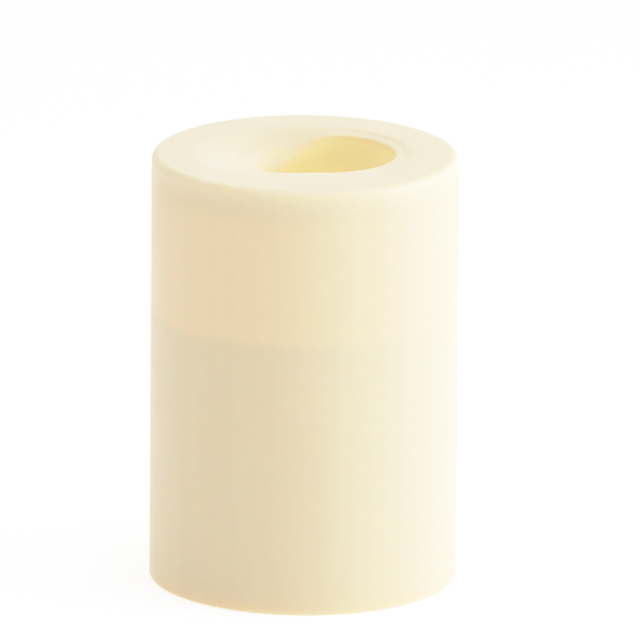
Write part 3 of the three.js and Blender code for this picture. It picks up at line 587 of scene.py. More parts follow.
def board_mask():
    """Solder mask over woven glass: the weave shows as a faint relief."""
    surface = Surface("board_green", 0.32)
    surface.tones(160, (0.02, 0.13, 0.05), (0.035, 0.17, 0.07))
    weave = surface.noise(1700, stretch=(1, 6, 1))
    surface.spread(surface.noise(1700, stretch=(6, 1, 1)), 0.24, 0.42)
    surface.bump(weave, 0.35, 0.02)
    return surface.material


def cell_jacket(low, high, dark, light):
    """A printed foil jacket: a dark body with a bright band at the positive end."""
    surface = Surface("cell_jacket", 0.28, Coat_Weight=0.4)
    body = surface.ramp(surface.noise(90), [(0.3, dark), (0.7, tuple(1.3 * part for part in dark))])
    band = surface.ramp(surface.height(low, high), [(0, (0, 0, 0)), (0.7, (1, 1, 1))], stepped=True)
    bright = surface.ramp(surface.noise(140), [(0.3, light), (0.7, tuple(1.1 * part for part in light))])
    surface.colour(surface.blended(band, body, bright))
    surface.spread(surface.noise(260), 0.22, 0.36)
    surface.bump(surface.noise(300, stretch=(1, 1, 0.2)), 0.2, 0.02)
    return surface.material


def resistor_body():
    """Tan lacquer; the colour bands are pieces of their own."""
    surface = Surface("resistor_body", 0.35)
    surface.tones(500, (0.56, 0.4, 0.2), (0.64, 0.47, 0.25))
    surface.bump(surface.noise(1300), 0.3, 0.02)
    return surface.material


def paint(name, colour, roughness=0.45):
    """A print or lacquer in one colour, slightly worn."""
    worn = tuple(0.85 * part for part in colour)
    return mottled(name, worn, colour, roughness, grain=1800, depth=0.008, scale=400)


WAX = wax_resin()
IVORY = mottled("ivory_plastic", (0.7, 0.615, 0.45), (0.755, 0.67, 0.505), 0.5, depth=0.05)
WHITE = mottled("white_plastic", (0.78, 0.76, 0.69), (0.84, 0.82, 0.76), 0.42)
BLACK = mottled("black_plastic", (0.018, 0.018, 0.02), (0.034, 0.034, 0.037), 0.45, depth=0.05)
EPOXY = mottled("epoxy_black", (0.012, 0.012, 0.014), (0.022, 0.022, 0.024), 0.55, grain=2600, depth=0.02)
RUBBER = mottled("black_rubber", (0.014, 0.014, 0.014), (0.03, 0.03, 0.029), 0.75, grain=900)
SILICONE = silicone()
LENS = led_lens()
DIE = led_die()
STEEL = brushed("steel", (0.52, 0.53, 0.54), (0.64, 0.645, 0.65), 0.32)
NICKEL = brushed("nickel", (0.56, 0.54, 0.48), (0.68, 0.65, 0.59), 0.26, stretch=(1, 14, 1))
TIN = brushed("tin", (0.55, 0.56, 0.57), (0.72, 0.72, 0.72), 0.22, stretch=(1, 1, 1))
BOARD = board_mask()
TRACE = paint("board_trace", (0.06, 0.26, 0.11), 0.3)
INK = paint("board_ink", (0.8, 0.8, 0.77))
MARK = paint("mark_ink", (0.07, 0.055, 0.04))
SLEEVE = mottled("capacitor_sleeve", (0.012, 0.02, 0.075), (0.02, 0.032, 0.1), 0.3, grain=600)
STRIPE = paint("capacitor_stripe", (0.5, 0.52, 0.55), 0.35)
TAN = resistor_body()
BANDS = [
    paint("band_brown", (0.16, 0.06, 0.02)),
    paint("band_black", (0.02, 0.02, 0.02)),
    paint("band_red", (0.5, 0.03, 0.02)),
    paint("band_gold", (0.55, 0.36, 0.1), 0.3),
]
RED_WIRE = mottled("wire_red", (0.36, 0.022, 0.016), (0.46, 0.035, 0.025), 0.38)
BLACK_WIRE = mottled("wire_black", (0.015, 0.015, 0.015), (0.03, 0.03, 0.03), 0.38)
WHITE_WIRE = mottled("wire_white", (0.68, 0.67, 0.63), (0.76, 0.75, 0.72), 0.38)


# ---- Camera, light and floor ----
PHOTO_ELEVATION = math.radians(15.4)
PHOTO_ROLL = math.radians(0.45)
VIEW_WIDTH = 197.775 * MM  # across the picture at the object
CAMERA_DISTANCE = 6.0
SENSOR_WIDTH = 36
CENTRE_LEFT = 4.821 * MM  # how far left of and below the view's middle the object's centre is
CENTRE_BELOW = 13.535 * MM

KEY_PLACE = (1.15, -0.2, 0.38)
KEY_SIZE = 0.8
KEY_POWER = 7.5
KEY_COLOUR = (0.82, 0.93, 1.06)
TOP_PLACE = (0.1, -0.25, 1.0)
TOP_SIZE = 0.9
TOP_POWER = 4.0
TOP_COLOUR = (0.94, 0.98, 1.08)
BRIGHT_SIDE = (0.5, 0.87, 0)  # where the room is brightest
ROOM_DIM = 0.06
ROOM_BRIGHT = 1.4
FLOOR_GLOW = 0.68
FLOOR_HALF = 30
FLOOR_Z = -0.05 * MM  # just clear of the foot
WHITE_LEVEL = 1.45  # the light that is shown as white


def make_camera():
    data = bpy.data.cameras.new("camera")
    camera = bpy.data.objects.new("camera", data)
    bpy.context.scene.collection.objects.link(camera)
    data.sensor_width = SENSOR_WIDTH
    data.lens = SENSOR_WIDTH * CAMERA_DISTANCE / VIEW_WIDTH
    data.clip_start = 0.1
    data.clip_end = 2 * FLOOR_HALF
    back = Vector((0, -math.cos(PHOTO_ELEVATION), math.sin(PHOTO_ELEVATION)))
    up = Vector((0, math.sin(PHOTO_ELEVATION), math.cos(PHOTO_ELEVATION)))
    right = Vector((1, 0, 0))
    target = Vector((0, 0, HEIGHT * MM / 2)) + right * CENTRE_LEFT + up * CENTRE_BELOW
    turn = Matrix.Rotation(PHOTO_ROLL, 3, back)
    camera.rotation_euler = (turn @ Matrix((right, up, back)).transposed()).to_euler()
    camera.location = target + back * CAMERA_DISTANCE
    bpy.context.scene.camera = camera


def area_light(name, place_at, size, power, colour):
    """A round soft light that faces the middle of the object."""
    data = bpy.data.lights.new(name, "AREA")
    data.shape = "DISK"
    data.size = size
    data.energy = power
    data.color = colour
    light = bpy.data.objects.new(name, data)
    light.location = place_at
    aim = Vector((0, 0, HEIGHT * MM / 2)) - light.location
    light.rotation_euler = aim.to_track_quat("-Z", "Y").to_euler()
    bpy.context.scene.collection.objects.link(light)


def make_light():
    area_light("key", KEY_PLACE, KEY_SIZE, KEY_POWER, KEY_COLOUR)
    area_light("top", TOP_PLACE, TOP_SIZE, TOP_POWER, TOP_COLOUR)
    make_room()


def make_room():
    """A room that is bright on one side, and white where the camera sees past the floor."""
    world = bpy.data.worlds.new("studio")
    world.use_nodes = True
    nodes = world.node_tree.nodes
    links = world.node_tree.links
    direction = nodes.new("ShaderNodeTexCoord").outputs["Generated"]
    facing = nodes.new("ShaderNodeVectorMath")
    facing.operation = "DOT_PRODUCT"
    links.new(direction, facing.inputs[0])
    facing.inputs[1].default_value = BRIGHT_SIDE
    change = nodes.new("ShaderNodeMapRange")
    change.inputs["From Min"].default_value = -1
    change.inputs["From Max"].default_value = 1
    change.inputs["To Min"].default_value = ROOM_DIM
    change.inputs["To Max"].default_value = ROOM_BRIGHT
    links.new(facing.outputs["Value"], change.inputs["Value"])
    shown = nodes.new("ShaderNodeMix")
    links.new(nodes.new("ShaderNodeLightPath").outputs["Is Camera Ray"], shown.inputs["Factor"])
    links.new(change.outputs["Result"], shown.inputs["A"])
    shown.inputs["B"].default_value = WHITE_LEVEL
    nodes["Background"].inputs["Color"].default_value = (1, 1, 1, 1)
    links.new(shown.outputs["Result"], nodes["Background"].inputs["Strength"])
    bpy.context.scene.world = world


def make_exposure():
    """A camera's response: straight up to three quarters, then a soft shoulder up to the floor's white."""
    view = bpy.context.scene.view_settings
    view.view_transform = "Standard"
    view.use_curve_mapping = True
    mapping = view.curve_mapping
    mapping.white_level = (WHITE_LEVEL,) * 3
    curve = mapping.curves[3]
    shoulder = [(0.35, 0.35), (0.7, 0.7), (0.85, 0.82), (1.05, 0.9), (1.2, 0.95)]
    for light, shown in shoulder:
        curve.points.new(light / WHITE_LEVEL, shown)
    mapping.update()


def make_floor():
    """A white floor, lit from within, that can be seen through from below."""
    surface = Surface("studio_floor", 0.9, Specular_IOR_Level=0.1)
    surface.tones(3, (0.78, 0.78, 0.77), (0.8, 0.8, 0.79))
    surface.shader.inputs["Emission Color"].default_value = (1, 1, 1, 1)
    surface.shader.inputs["Emission Strength"].default_value = FLOOR_GLOW
    below = surface.nodes.new("ShaderNodeNewGeometry").outputs["Backfacing"]
    clear = surface.nodes.new("ShaderNodeBsdfTransparent").outputs["BSDF"]
    choice = surface.nodes.new("ShaderNodeMixShader")
    surface.links.new(below, choice.inputs["Fac"])
    surface.links.new(surface.shader.outputs["BSDF"], choice.inputs[1])
    surface.links.new(clear, choice.inputs[2])
    surface.links.new(choice.outputs["Shader"], surface.nodes["Material Output"].inputs["Surface"])
    mesh = bpy.data.meshes.new("studio_floor")
    corners = [(x * FLOOR_HALF, y * FLOOR_HALF, FLOOR_Z) for x, y in ((-1, -1), (1, -1), (1, 1), (-1, 1))]
    mesh.from_pydata(corners, [], [(0, 1, 2, 3)])
    make_object("studio_floor", mesh, [surface.material])


# ---- The shell ----
def softness(angle):
    """0 where the mouth's edge is crisp, 1 where it has melted into a funnel."""
    return smoothstep(0.45, 1.0, (1 + math.cos(angle - SOFT_SIDE)) / 2)


def shell_section(soft):
    """The shell's section on a side of that softness, from the well's floor over the rim and back inside.

    Each point is (radius, height, share of the mouth's offset, zone).
    """
    floor = WELL_FLOOR_Z
    flat = 13.5
    corner = 3.6
    mouth = mix(MOUTH_RADIUS, SOFT_MOUTH_RADIUS, soft)
    lip = mix(1.2, 9, soft)
    lip_z = HEIGHT - mix(0.8, 3.0, soft)
    points = [(mix(LED_HOLE, flat, i / 8), floor, 0, "well") for i in range(9)]
    for i in range(1, 9):
        angle = i / 8 * math.radians(85)
        points.append((flat + corner * math.sin(angle), floor + corner * (1 - math.cos(angle)), 0, "well"))
    # the well's wall, and the round of its lip
    for i in range(1, 25):
        t = i / 24
        z = mix(floor + corner, lip_z - lip, t)
        points.append((mix(flat + corner, mouth, t ** 0.85), z, t ** 1.1, "well"))
    for i in range(1, 17):
        angle = i / 16 * math.radians(84)
        z = lip_z - lip * (1 - math.sin(angle))
        points.append((mouth + lip * (1 - math.cos(angle)), z, 1, "well"))
    # the dish, the flat rim and its edge
    for i in range(1, 25):
        t = i / 24
        z = mix(lip_z, HEIGHT, 1 - (1 - t) ** 1.5)
        points.append((mix(mouth + lip, DISH_RADIUS, t), z, 1 - smoothstep(0, 1, t), "dish"))
    edge_radius = RADIUS - EDGE_ROUND
    edge_z = HEIGHT - EDGE_ROUND
    points += [(mix(DISH_RADIUS, edge_radius, i / 8), HEIGHT, 0, "rim") for i in range(1, 9)]
    for i in range(1, 11):
        angle = i / 10 * math.pi / 2
        z = edge_z + EDGE_ROUND * math.cos(angle)
        points.append((edge_radius + EDGE_ROUND * math.sin(angle), z, 0, "wall"))
    # the wall and the foot
    points += [(RADIUS, mix(edge_z, FOOT_ROUND, i / 90), 0, "wall") for i in range(1, 91)]
    for i in range(1, 6):
        angle = i / 5 * math.pi / 2
        z = FOOT_ROUND - FOOT_ROUND * math.sin(angle)
        points.append((RADIUS - FOOT_ROUND + FOOT_ROUND * math.cos(angle), z, 0, "wall"))
    inner = RADIUS - WALL
    under = floor - WELL_FLOOR_THICKNESS
    inside = [
        (inner + 0.25, 0, 0),
        (inner, 0.25, 0),
        (inner, 0.5, 0),
        (inner, 24, 0),
        (inner, 84, 0),
        (inner, HEIGHT - 6.4, 0),
        (inner - 0.8, HEIGHT - 4.2, 0),
        (inner - 2.8, HEIGHT - 3.2, 0),
        (MOUTH_RADIUS + 7, HEIGHT - 6.4, 1),
        (MOUTH_RADIUS + 4, HEIGHT - 8, 1),
        (MOUTH_RADIUS + 2.6, HEIGHT - 10, 0.95),
        (24.3, HEIGHT - 13, 0.8),
        (21.8, floor + 11, 0.35),
        (19.8, floor + 2.6, 0.05),
        (18.6, under + 1.2, 0),
        (16.5, under, 0),
        (LED_HOLE, under, 0),
    ]
    return points + [(radius, z, share, "inside") for radius, z, share in inside]


def glow_colour(zone, angle, z, soft):
    """The light that comes through the shell, as a colour to add to its own, and a painted light that lifts
    the shade on the round of the top edge.
    """
    if zone == "wall":
        low = smoothstep(DECK_TOP_Z - 2.5, DECK_TOP_Z + 1.5, z)
        high = 1 - smoothstep(HEIGHT - 14, HEIGHT - 3, z)
        # painted light on the top edge's round, lifting its shade
        round_share = (HEIGHT - z) / EDGE_ROUND
        edge = smoothstep(0, 0.3, round_share) * (1 - smoothstep(0.5, 1.3, round_share))
        towards = (1 + math.cos(angle - GLOW_SIDE)) / 2
        return (WALL_GLOW * low * high + EDGE_PAINTED_LIGHT * edge) * mix(0.3, 1, towards ** 3)
    if zone in ("well", "dish"):
        start = HEIGHT - mix(0.2, 5, soft)
        full = HEIGHT - mix(2.6, 14, soft)
        return WELL_GLOW * (1 - 0.4 * soft) * smoothstep(start, full, z)
    return Vector((0, 0, 0))


def make_shell():
    angles = [2 * math.pi * k / SHELL_SIDES for k in range(SHELL_SIDES)]
    sections = [shell_section(softness(angle)) for angle in angles]
    loops = []
    glow = []
    for ring in zip(*sections):
        loop = []
        for angle, (radius, z, share, zone) in zip(angles, ring):
            point = Vector((math.cos(angle), math.sin(angle), 0)) * radius + MOUTH_OFFSET * share
            point.z = z
            loop.append(point)
            glow.append(glow_colour(zone, angle, point.z, softness(angle)))
        loops.append(loop)
    shell = build("shell", loft(loops, closed=True), WAX, "wax_resin", ["candle_shell"], angle=60)
    layer = shell.data.color_attributes.new("glow", "FLOAT_COLOR", "POINT")
    for i, colour in enumerate(glow):
        layer.data[i].color = (*colour, 1)


def make_shell_bosses():
    """The three bosses inside the shell's foot, each with a web to the wall."""
    low = 8.1
    high = 24
    web = block((0, -1.1, low), (6.1, 1.1, high), 0.3)
    boss = carved(post(3.4, low, high, bevel=0.4), [web], [bore(SCREW_HOLE, low, high - 4, mouth=0.3)])
    boss = boss.moved(BASE_SCREW_RADIUS)
    for i, degrees in enumerate(BASE_SCREW_ANGLES):
        build(f"shell_boss_{i + 1}", boss.turned(degrees), WAX, "wax_resin")


# ---- The LED ----
def make_led():
    low = LED_LOW.z
    dome = arc(0, low + 6.2, 2.5, 0, 90, 10)[:-1]
    foot = rounded([(0, low), (2.9, low), (2.9, low + 1), (2.5, low + 1), (2.5, low + 2)], 0.2, False)
    build("led_lens", lathe([*foot[:-1], *dome, (0, LED_HIGH.z)], 40), LENS, "led_lens", ["led"])
    # the two metal legs inside the lens: one ends in a cup that holds the die
    bowl = [(0, 98.9), (0.7, 99.6), (0.95, 100.4), (0.75, 100.4), (0.4, 99.8), (0, 99.8)]
    cup = spun(bowl, 0.06, 24)
    stem = block((-1.5, -0.3, 96.2), (0.2, 0.3, 98.95), 0.08)
    other = block((0.95, -0.3, 96.2), (1.55, 0.3, 99.9), 0.08)
    build("led_legs_inside", merged([cup, stem, other]), NICKEL, "steel")
    build("led_die", block((-0.25, -0.25, 99.82), (0.25, 0.25, 100.1), 0.04), DIE, "led_lens")


def make_led_leads():
    for node in ("led_lead_positive", "led_lead_negative"):
        low, high = box(node)
        middle = middle_of(node)
        bar = block(low, high, 0.06)
        z = low.z
        blob = [(0, z), (0.55, z), (0.75, z + 0.6), (0.4, z + 1.5), (0, z + 1.5)]
        solder = spun(blob, 0.25, 20).moved(middle.x, middle.y)
        build(f"{node}_tinned", carved(bar, [solder]), TIN, "steel", [node])


def make_grommet():
    low, high = box("led_grommet")
    profile = [
        (2.85, low.z), (5.4, low.z), (5.4, low.z + 1), (4, low.z + 1), (4, high.z - 1),
        (5.6, high.z - 1), (5.6, high.z - 0.5), (5, high.z), (2.85, high.z),
    ]
    build("grommet", spun(profile, 0.3, 64), SILICONE, "silicone", ["led_grommet"])


# ---- The deck over the board ----
def make_deck():
    skirt = box("module_cap")[0].z
    under = DECK_TOP_Z - 2
    profile = [
        (2.4, under), (29.2, under), (29.2, skirt), (31, skirt), (31, under), (43.8, under),
        (43.8, DECK_TOP_Z), (6.6, DECK_TOP_Z), (4.6, DECK_TOP_Z + 2), (4.6, POST_TOP_Z), (2.4, POST_TOP_Z),
    ]
    body = spun(profile, 0.35, 144)
    ribs = around(block((30.5, -0.6, under - 4), (41.5, 0.6, under + 0.5)), range(30, 390, 60))
    bosses = placed(post(2.8, skirt, under + 0.5), CAP_SCREWS)
    pilots = placed(bore(SCREW_HOLE, skirt, under - 5), CAP_SCREWS)
    notch = block((-4, -32, skirt - 1), (4, -28.2, skirt + 4), 0.6)
    fins = around(block((4.2, -0.5, DECK_TOP_Z - 0.5), (7.6, 0.5, DECK_TOP_Z + 5)), range(0, 360, 90))
    shape = carved(body, [merged(ribs), merged(bosses), merged(fins)], [merged(pilots), notch])
    build("deck", shape, WHITE, "white_plastic", ["module_cap"])


# ---- The battery housing ----
def tab_slots(low, high):
    return [block((x - 1.8, y - 0.3, low), (x + 1.8, y + 0.8, high), 0.05) for x, y in TAB_PLACES]


def make_housing():
    low = box("battery_housing")[0].z
    tray = TRAY_TOP_Z - 2
    screw_x = HOUSING_SCREW_RADIUS
    sleeve = slab(oblong(CELL_X, 15.4), low, tray + 0.5)
    rounds = [post(32.2, low, low + 2, sides=120), post(31, tray, TRAY_TOP_Z, sides=120)]
    ears = around(post(3.2, low, low + 2).moved(screw_x), HOUSING_SCREW_ANGLES)
    webs = around(block((28.9, -3.2, low), (screw_x, 3.2, low + 2)), HOUSING_SCREW_ANGLES)
    posts = placed(post(2.4, tray + 0.5, BOARD_LOW.z - 0.3), BOARD_POSTS)
    gussets = [block((-17, y - 0.7, low + 1), (17, y + 0.7, low + 8), 0.3) for y in (-15.6, 15.6)]
    bay = slab(oblong(CELL_X, 13.6), low - 1, tray, bevel=0.6)
    seat = post(5.4, 63.6, tray + 0.5).moved(-CELL_X)
    holes = around(bore(SCREW_HOLE, low, low + 3).moved(screw_x), HOUSING_SCREW_ANGLES)
    holes += placed(bore(SCREW_HOLE, tray, TRAY_TOP_Z + 1), CAP_SCREWS)
    holes += placed(bore(SCREW_HOLE, TRAY_TOP_Z, BOARD_LOW.z), BOARD_SCREWS)
    hollow = carved(sleeve, [*rounds, merged(ears), *webs, merged(posts), *gussets], [bay])
    shape = carved(hollow, [seat], [merged(holes), *tab_slots(tray - 1, TRAY_TOP_Z + 1)])
    build("housing", shape, BLACK, "black_plastic", ["battery_housing"])
    make_polarity_marks()


def plus_outline(x, y, arm, half):
    corners = [(arm, -half), (arm, half), (half, half), (half, arm), (-half, arm), (-half, half),
               (-arm, half), (-arm, -half), (-half, -half), (-half, -arm), (half, -arm), (half, -half)]
    return [(x + u, y + v) for u, v in corners]


def bar_outline(x, y, arm, half):
    return rectangle(x - arm, y - half, x + arm, y + half, 0.2)


def make_polarity_marks():
    """Raised signs on the front of the housing: which way up each cell goes."""
    upper = 56
    lower = 26
    places = [(plus_outline, -CELL_X, upper), (bar_outline, CELL_X, upper),
              (plus_outline, CELL_X, lower), (bar_outline, -CELL_X, lower)]
    signs = [slab(outline(x, y, 2.2, 0.6), 15.2, 15.75, 0.12) for outline, x, y in places]
    build("housing_signs", merged(signs).turned(90, "X"), WHITE, "white_plastic")


# ---- The board and its parts ----
def make_board():
    low, high = BOARD_LOW, BOARD_HIGH
    body = slab(rectangle(low.x, low.y, high.x, high.y, 1.2), low.z, high.z, 0.12)
    holes = placed(bore(SCREW_HOLE, low.z, high.z + 1, mouth=0.05), BOARD_SCREWS)
    slots = tab_slots(low.z - 1, high.z + 1)
    build("board", carved(body, [], [merged(holes), *slots]), BOARD, "board_green", ["circuit_board"])
    make_traces()
    make_board_print()


def trace(points):
    """A copper track under the mask, along points on the board."""
    width = 0.7
    z = BOARD_HIGH.z
    pieces = placed(post(width / 2, z - 0.05, z + 0.06, 0.02, 16), points)
    for (x0, y0), (x1, y1) in zip(points, points[1:]):
        length = math.hypot(x1 - x0, y1 - y0)
        turn = math.degrees(math.atan2(y1 - y0, x1 - x0))
        bar = block((0, -width / 2, z - 0.05), (length, width / 2, z + 0.06), 0.02)
        pieces.append(bar.turned(turn).moved(x0, y0))
    return carved(pieces[0], pieces[1:])


def make_traces():
    routes = [
        [(-CELL_X, 8), (-12, 11)],
        [(CELL_X, 8), (10, 11.5), (6.5, 10.5)],
        [(2.6, 7), (2.6, 9), (4, 10.5)],
        [(-2.6, 7), (-2, 11)],
        [(-14, 1.5), (-16.5, -1), (-16.5, -8), (-12, -11), (-1.9, -10)],
        [(-4, 1.5), (-2.5, 3)],
        [CRYSTAL_LEADS[0], (CRYSTAL_LEAD_X, -8), (-3, -8), (-1.9, -3)],
        [CRYSTAL_LEADS[1], (-10, -3.4), (-4.5, -3.4), (-3, -2.5)],
        [(1.9, -10), (6, -9.5), (8.5, -6)],
        [(11.5, -6), (14, -3), (16, 2), (15.5, 6.5)],
        [(1.9, 3), (2.7, 5.2), (5.3, 8.2), (5.3, 10.4)],
        [(0, -9.8), (0.6, -6), (0.6, -3)],
    ]
    for i, route in enumerate(routes):
        build(f"board_track_{i + 1}", trace(route), TRACE, "board_green")
    pads = [(-12, 11), (-2, 11), (-14, 1.5), (-4, 1.5), (8.5, -6), (11.5, -6)]
    pads += [(4 + side * LEG_STEP, 10.3) for side in (-1, 0, 1)]
    z = BOARD_HIGH.z
    rings = placed(hoop(0.4, 1, z - 0.05, z + 0.1, 0.04, 24), pads)
    rings += placed(post(0.45, z - 0.05, z + 0.1, 0.04, 16), CRYSTAL_LEADS)
    build("board_pads", merged(rings), TIN, "steel")


def make_board_print():
    """White outlines round the parts."""
    z = BOARD_HIGH.z
    outlines = [hoop(3.5, 3.75, z - 0.05, z + 0.08, 0.02, 48).moved(10, -6)]
    for x, y, half_x, half_y in ((-7, 11, 4, 1.7), (-9, 1.5, 4, 1.7), (-8, -5.5, 3.9, 1.5)):
        for side in (-1, 1):
            low = (x - half_x, y + side * half_y - 0.1, z - 0.05)
            outlines.append(block(low, (x + half_x, y + side * half_y + 0.1, z + 0.08), 0.02))
    build("board_print", merged(outlines), INK, "board_green")


def make_chip():
    low, high = box("timer_chip")
    x0, x1 = low.x, high.x
    body = block((x0, -2, high.z - 1.5), (x1, 2, high.z), 0.15)
    dimple = post(0.35, high.z - 0.12, high.z + 1, 0.05).moved(x0 + 0.8, -1.2)
    leg = [(1.9, 0.55), (2.35, 0.55), (2.6, 0.15), (3.1, 0.15), (3.1, 0), (2.5, 0), (2.25, 0.4), (1.9, 0.4)]
    outline = [(y, low.z + z) for y, z in rounded(leg[::-1], 0.08)]
    legs = []
    for i in range(4):
        legs += around(side_slab(outline, 0.44, (i - 1.5) * LEG_STEP), (0, 180))
    build("chip", carved(body, [], [dimple]), EPOXY, "black_plastic", ["timer_chip"])
    build("chip_legs", merged(legs), TIN, "steel")


def make_crystal():
    low, high = box("timing_crystal")
    middle = middle_of("timing_crystal")
    radius = (high.z - low.z) / 2
    length = high.x - low.x
    neck = 0.75 * radius
    profile = [(0, 0), (neck, 0), (neck, 0.4), (radius, 0.6), (radius, length), (0, length)]
    can = spun(profile, 0.15, 32).turned(90, "Y").moved(low.x, middle.y, middle.z)
    build("crystal", can, STEEL, "steel", ["timing_crystal"])
    leads = []
    for _, y in CRYSTAL_LEADS:
        bend = [(low.x + 0.2, y, middle.z), (low.x - 0.7, y, middle.z), (low.x - 1, y, middle.z - 0.25),
                (low.x - 1.1, y, BOARD_HIGH.z)]
        leads.append(tube(smooth_path(bend, 4), 0.17, 8))
    build("crystal_leads", merged(leads), TIN, "steel")


def make_capacitor():
    low, high = box("smoothing_capacitor")
    middle = middle_of("smoothing_capacitor")
    z = low.z
    profile = [(0, z), (3.1, z), (3.1, z + 0.9), (2.85, z + 1.3), (3.1, z + 1.7), (3.1, high.z - 0.1),
               (2.5, high.z - 0.1), (2.5, high.z - 0.35), (0, high.z - 0.35)]
    can = spun(profile, 0.25).moved(middle.x, middle.y)
    build("capacitor_sleeve", can, SLEEVE, "capacitor_sleeve", ["smoothing_capacitor"])
    lid = post(2.6, high.z - 0.5, high.z - 0.18, bevel=0.1)
    vents = around(block((-2, -0.12, high.z - 0.26), (2, 0.12, high.z), 0.02), (0, 90))
    build("capacitor_top", carved(lid, [], vents).moved(middle.x, middle.y), TIN, "steel")
    foot = z + 2
    top = high.z - 0.6
    section = [(3.14, foot), (3.14, top), (3.0, top), (3.0, foot)]
    loops = [[(*polar(radius, angle), rise) for radius, rise in section] for angle in range(-118, -61, 4)]
    build("capacitor_stripe", loft(loops).moved(middle.x, middle.y), STRIPE, "capacitor_sleeve")


def make_resistor(node, bands):
    """A resistor that lies along X, with four colour bands."""
    low, high = box(node)
    middle = middle_of(node)
    cap_radius = 1.15
    axis_z = high.z - cap_radius
    profile = [(0, -3.2), (0.8, -3.2), (cap_radius, -2.7), (cap_radius, -1.8), (0.9, -1.4), (0.9, 1.4),
               (cap_radius, 1.8), (cap_radius, 2.7), (0.8, 3.2), (0, 3.2)]
    body = spun(profile, 0.35, 32).turned(90, "Y").moved(middle.x, middle.y, axis_z)
    build(f"{node}_body", body, TAN, "resistor_body", [node])
    band_starts = (-2.5, -1.0, -0.1, 2.1)
    band_radii = (1.17, 0.925, 0.925, 1.17)
    for i, (band, start, radius) in enumerate(zip(bands, band_starts, band_radii)):
        ring = hoop(radius - 0.1, radius, start, start + 0.45, 0.02, 32)
        ring = ring.turned(90, "Y").moved(middle.x, middle.y, axis_z)
        build(f"{node}_band_{i + 1}", ring, band, "resistor_body")
    for side, end in ((-1, "left"), (1, "right")):
        bend = [(3, axis_z), (4.3, axis_z), (4.9, axis_z - 0.25), (5, axis_z - 0.9), (5, low.z)]
        path = smooth_path([(side * x, 0, z) for x, z in bend], 4)
        lead = tube(path, 0.28).moved(middle.x, middle.y)
        build(f"{node}_lead_{end}", lead, TIN, "steel")


def make_transistor():
    low, high = box("driver_transistor")
    x = middle_of("driver_transistor").x
    y = 10.5
    front = arc(0, 0, 2.3, 150, 390, 28)
    body = slab(front, high.z - 4.6, high.z, 0.2).moved(x, y)
    leg = block((-0.22, -0.4, low.z), (0.22, 0.04, high.z - 4.4), 0.06)
    legs = [leg.moved(x + side * LEG_STEP, y) for side in (-1, 0, 1)]
    build("transistor", body, EPOXY, "black_plastic", ["driver_transistor"])
    build("transistor_legs", merged(legs), TIN, "steel")


# ---- Cells, contacts and springs ----
CELL_LOW_Z = 12.5
CELL_LENGTH = 48.2  # without its nub
CELL_DARK = (0.035, 0.065, 0.13)
CELL_BRIGHT = (0.52, 0.3, 0.13)


def cell_can(length):
    """The steel can: a recessed negative end, a bead at each end, and the nub."""
    profile = [
        (0, 0.35), (6.8, 0.35), (7.2, 0.55), (9.4, 0.55), (9.9, 0), (12.5, 0), (13, 0.5), (13, length - 0.5),
        (12.5, length), (11.4, length), (11.1, length - 0.35), (4.6, length - 0.35), (4.2, length),
        (3.2, length), (3.2, length + 1.5), (2.9, length + 1.8), (0, length + 1.8),
    ]
    return spun(profile, 0.25, 72)


def cell_sleeve(length):
    """The foil round the can, folded over both ends."""
    profile = [
        (11.6, 0.05), (12.6, 0.02), (13.1, 0.5), (13.1, length - 0.5), (12.6, length - 0.02),
        (11.6, length - 0.05), (11.6, length - 0.3), (12.4, length - 0.35), (12.9, length - 0.8), (12.9, 0.8),
        (12.4, 0.35), (11.6, 0.3),
    ]
    return spun(profile, 0.2, 96)


def make_cell(node, x, turn):
    """One cell, standing on its negative end if turn is 0 and on its nub if it is 180."""
    low = CELL_LOW_Z
    length = CELL_LENGTH

    def stood(shape):
        return shape.turned(turn, "X").moved(x, 0, low if turn == 0 else low + length)

    build(f"{node}_can", stood(cell_can(length)), STEEL, "steel")
    band = 12
    bottom = low + length - band if turn == 0 else low + band
    material = cell_jacket(bottom, bottom + (1 if turn == 0 else -1), CELL_DARK, CELL_BRIGHT)
    build(f"{node}_jacket", stood(cell_sleeve(length)), material, "cell_jacket", [node])
    washer = [(4.7, length - 0.4), (11, length - 0.4), (10.7, length - 0.1), (5, length - 0.1)]
    build(f"{node}_insulator", stood(spun(washer, 0.1, 64)), EPOXY, "black_plastic")


def make_roof_contact(node, tab_at, sheet_z, radius, pressed_up):
    """A plated disc with a pressed dimple, and a tab bent up through the board."""
    x, tab_y = tab_at
    sheet = 0.5
    bend = 0.9
    top = BOARD_HIGH.z + 1.4
    disc = post(radius, sheet_z, sheet_z + sheet, 0.12, 48).moved(x)
    outer = tab_y + sheet
    side = [(2, sheet_z), *arc(outer - bend, sheet_z + bend, bend, -90, 0, 6), (outer, top),
            (outer - sheet, top), *arc(outer - bend, sheet_z + bend, bend - sheet, 0, -90, 6),
            (2, sheet_z + sheet)]
    tab = side_slab(side, 3, x, 0.08)
    dimple = lathe([(0, 0), (1.8, 0), (1.2, 0.22), (0, 0.25)], 32)
    if pressed_up:
        dimple = dimple.moved(x, 0, sheet_z - 0.01)
    else:
        dimple = dimple.turned(180, "X").moved(x, 0, sheet_z + sheet + 0.01)
    build(f"{node}_plate", carved(disc, [tab], [dimple]), NICKEL, "nickel", [node])
    solder = spun([(0, 0), (2.1, 0), (1.2, 0.5), (0.9, 1.1), (0, 1.15)], 0.3, 24)
    solder = solder.mapped(lambda p: Vector((p.x, 0.55 * p.y, p.z))).moved(x, tab_y + 0.25, BOARD_HIGH.z)
    build(f"{node}_solder", solder, TIN, "steel")


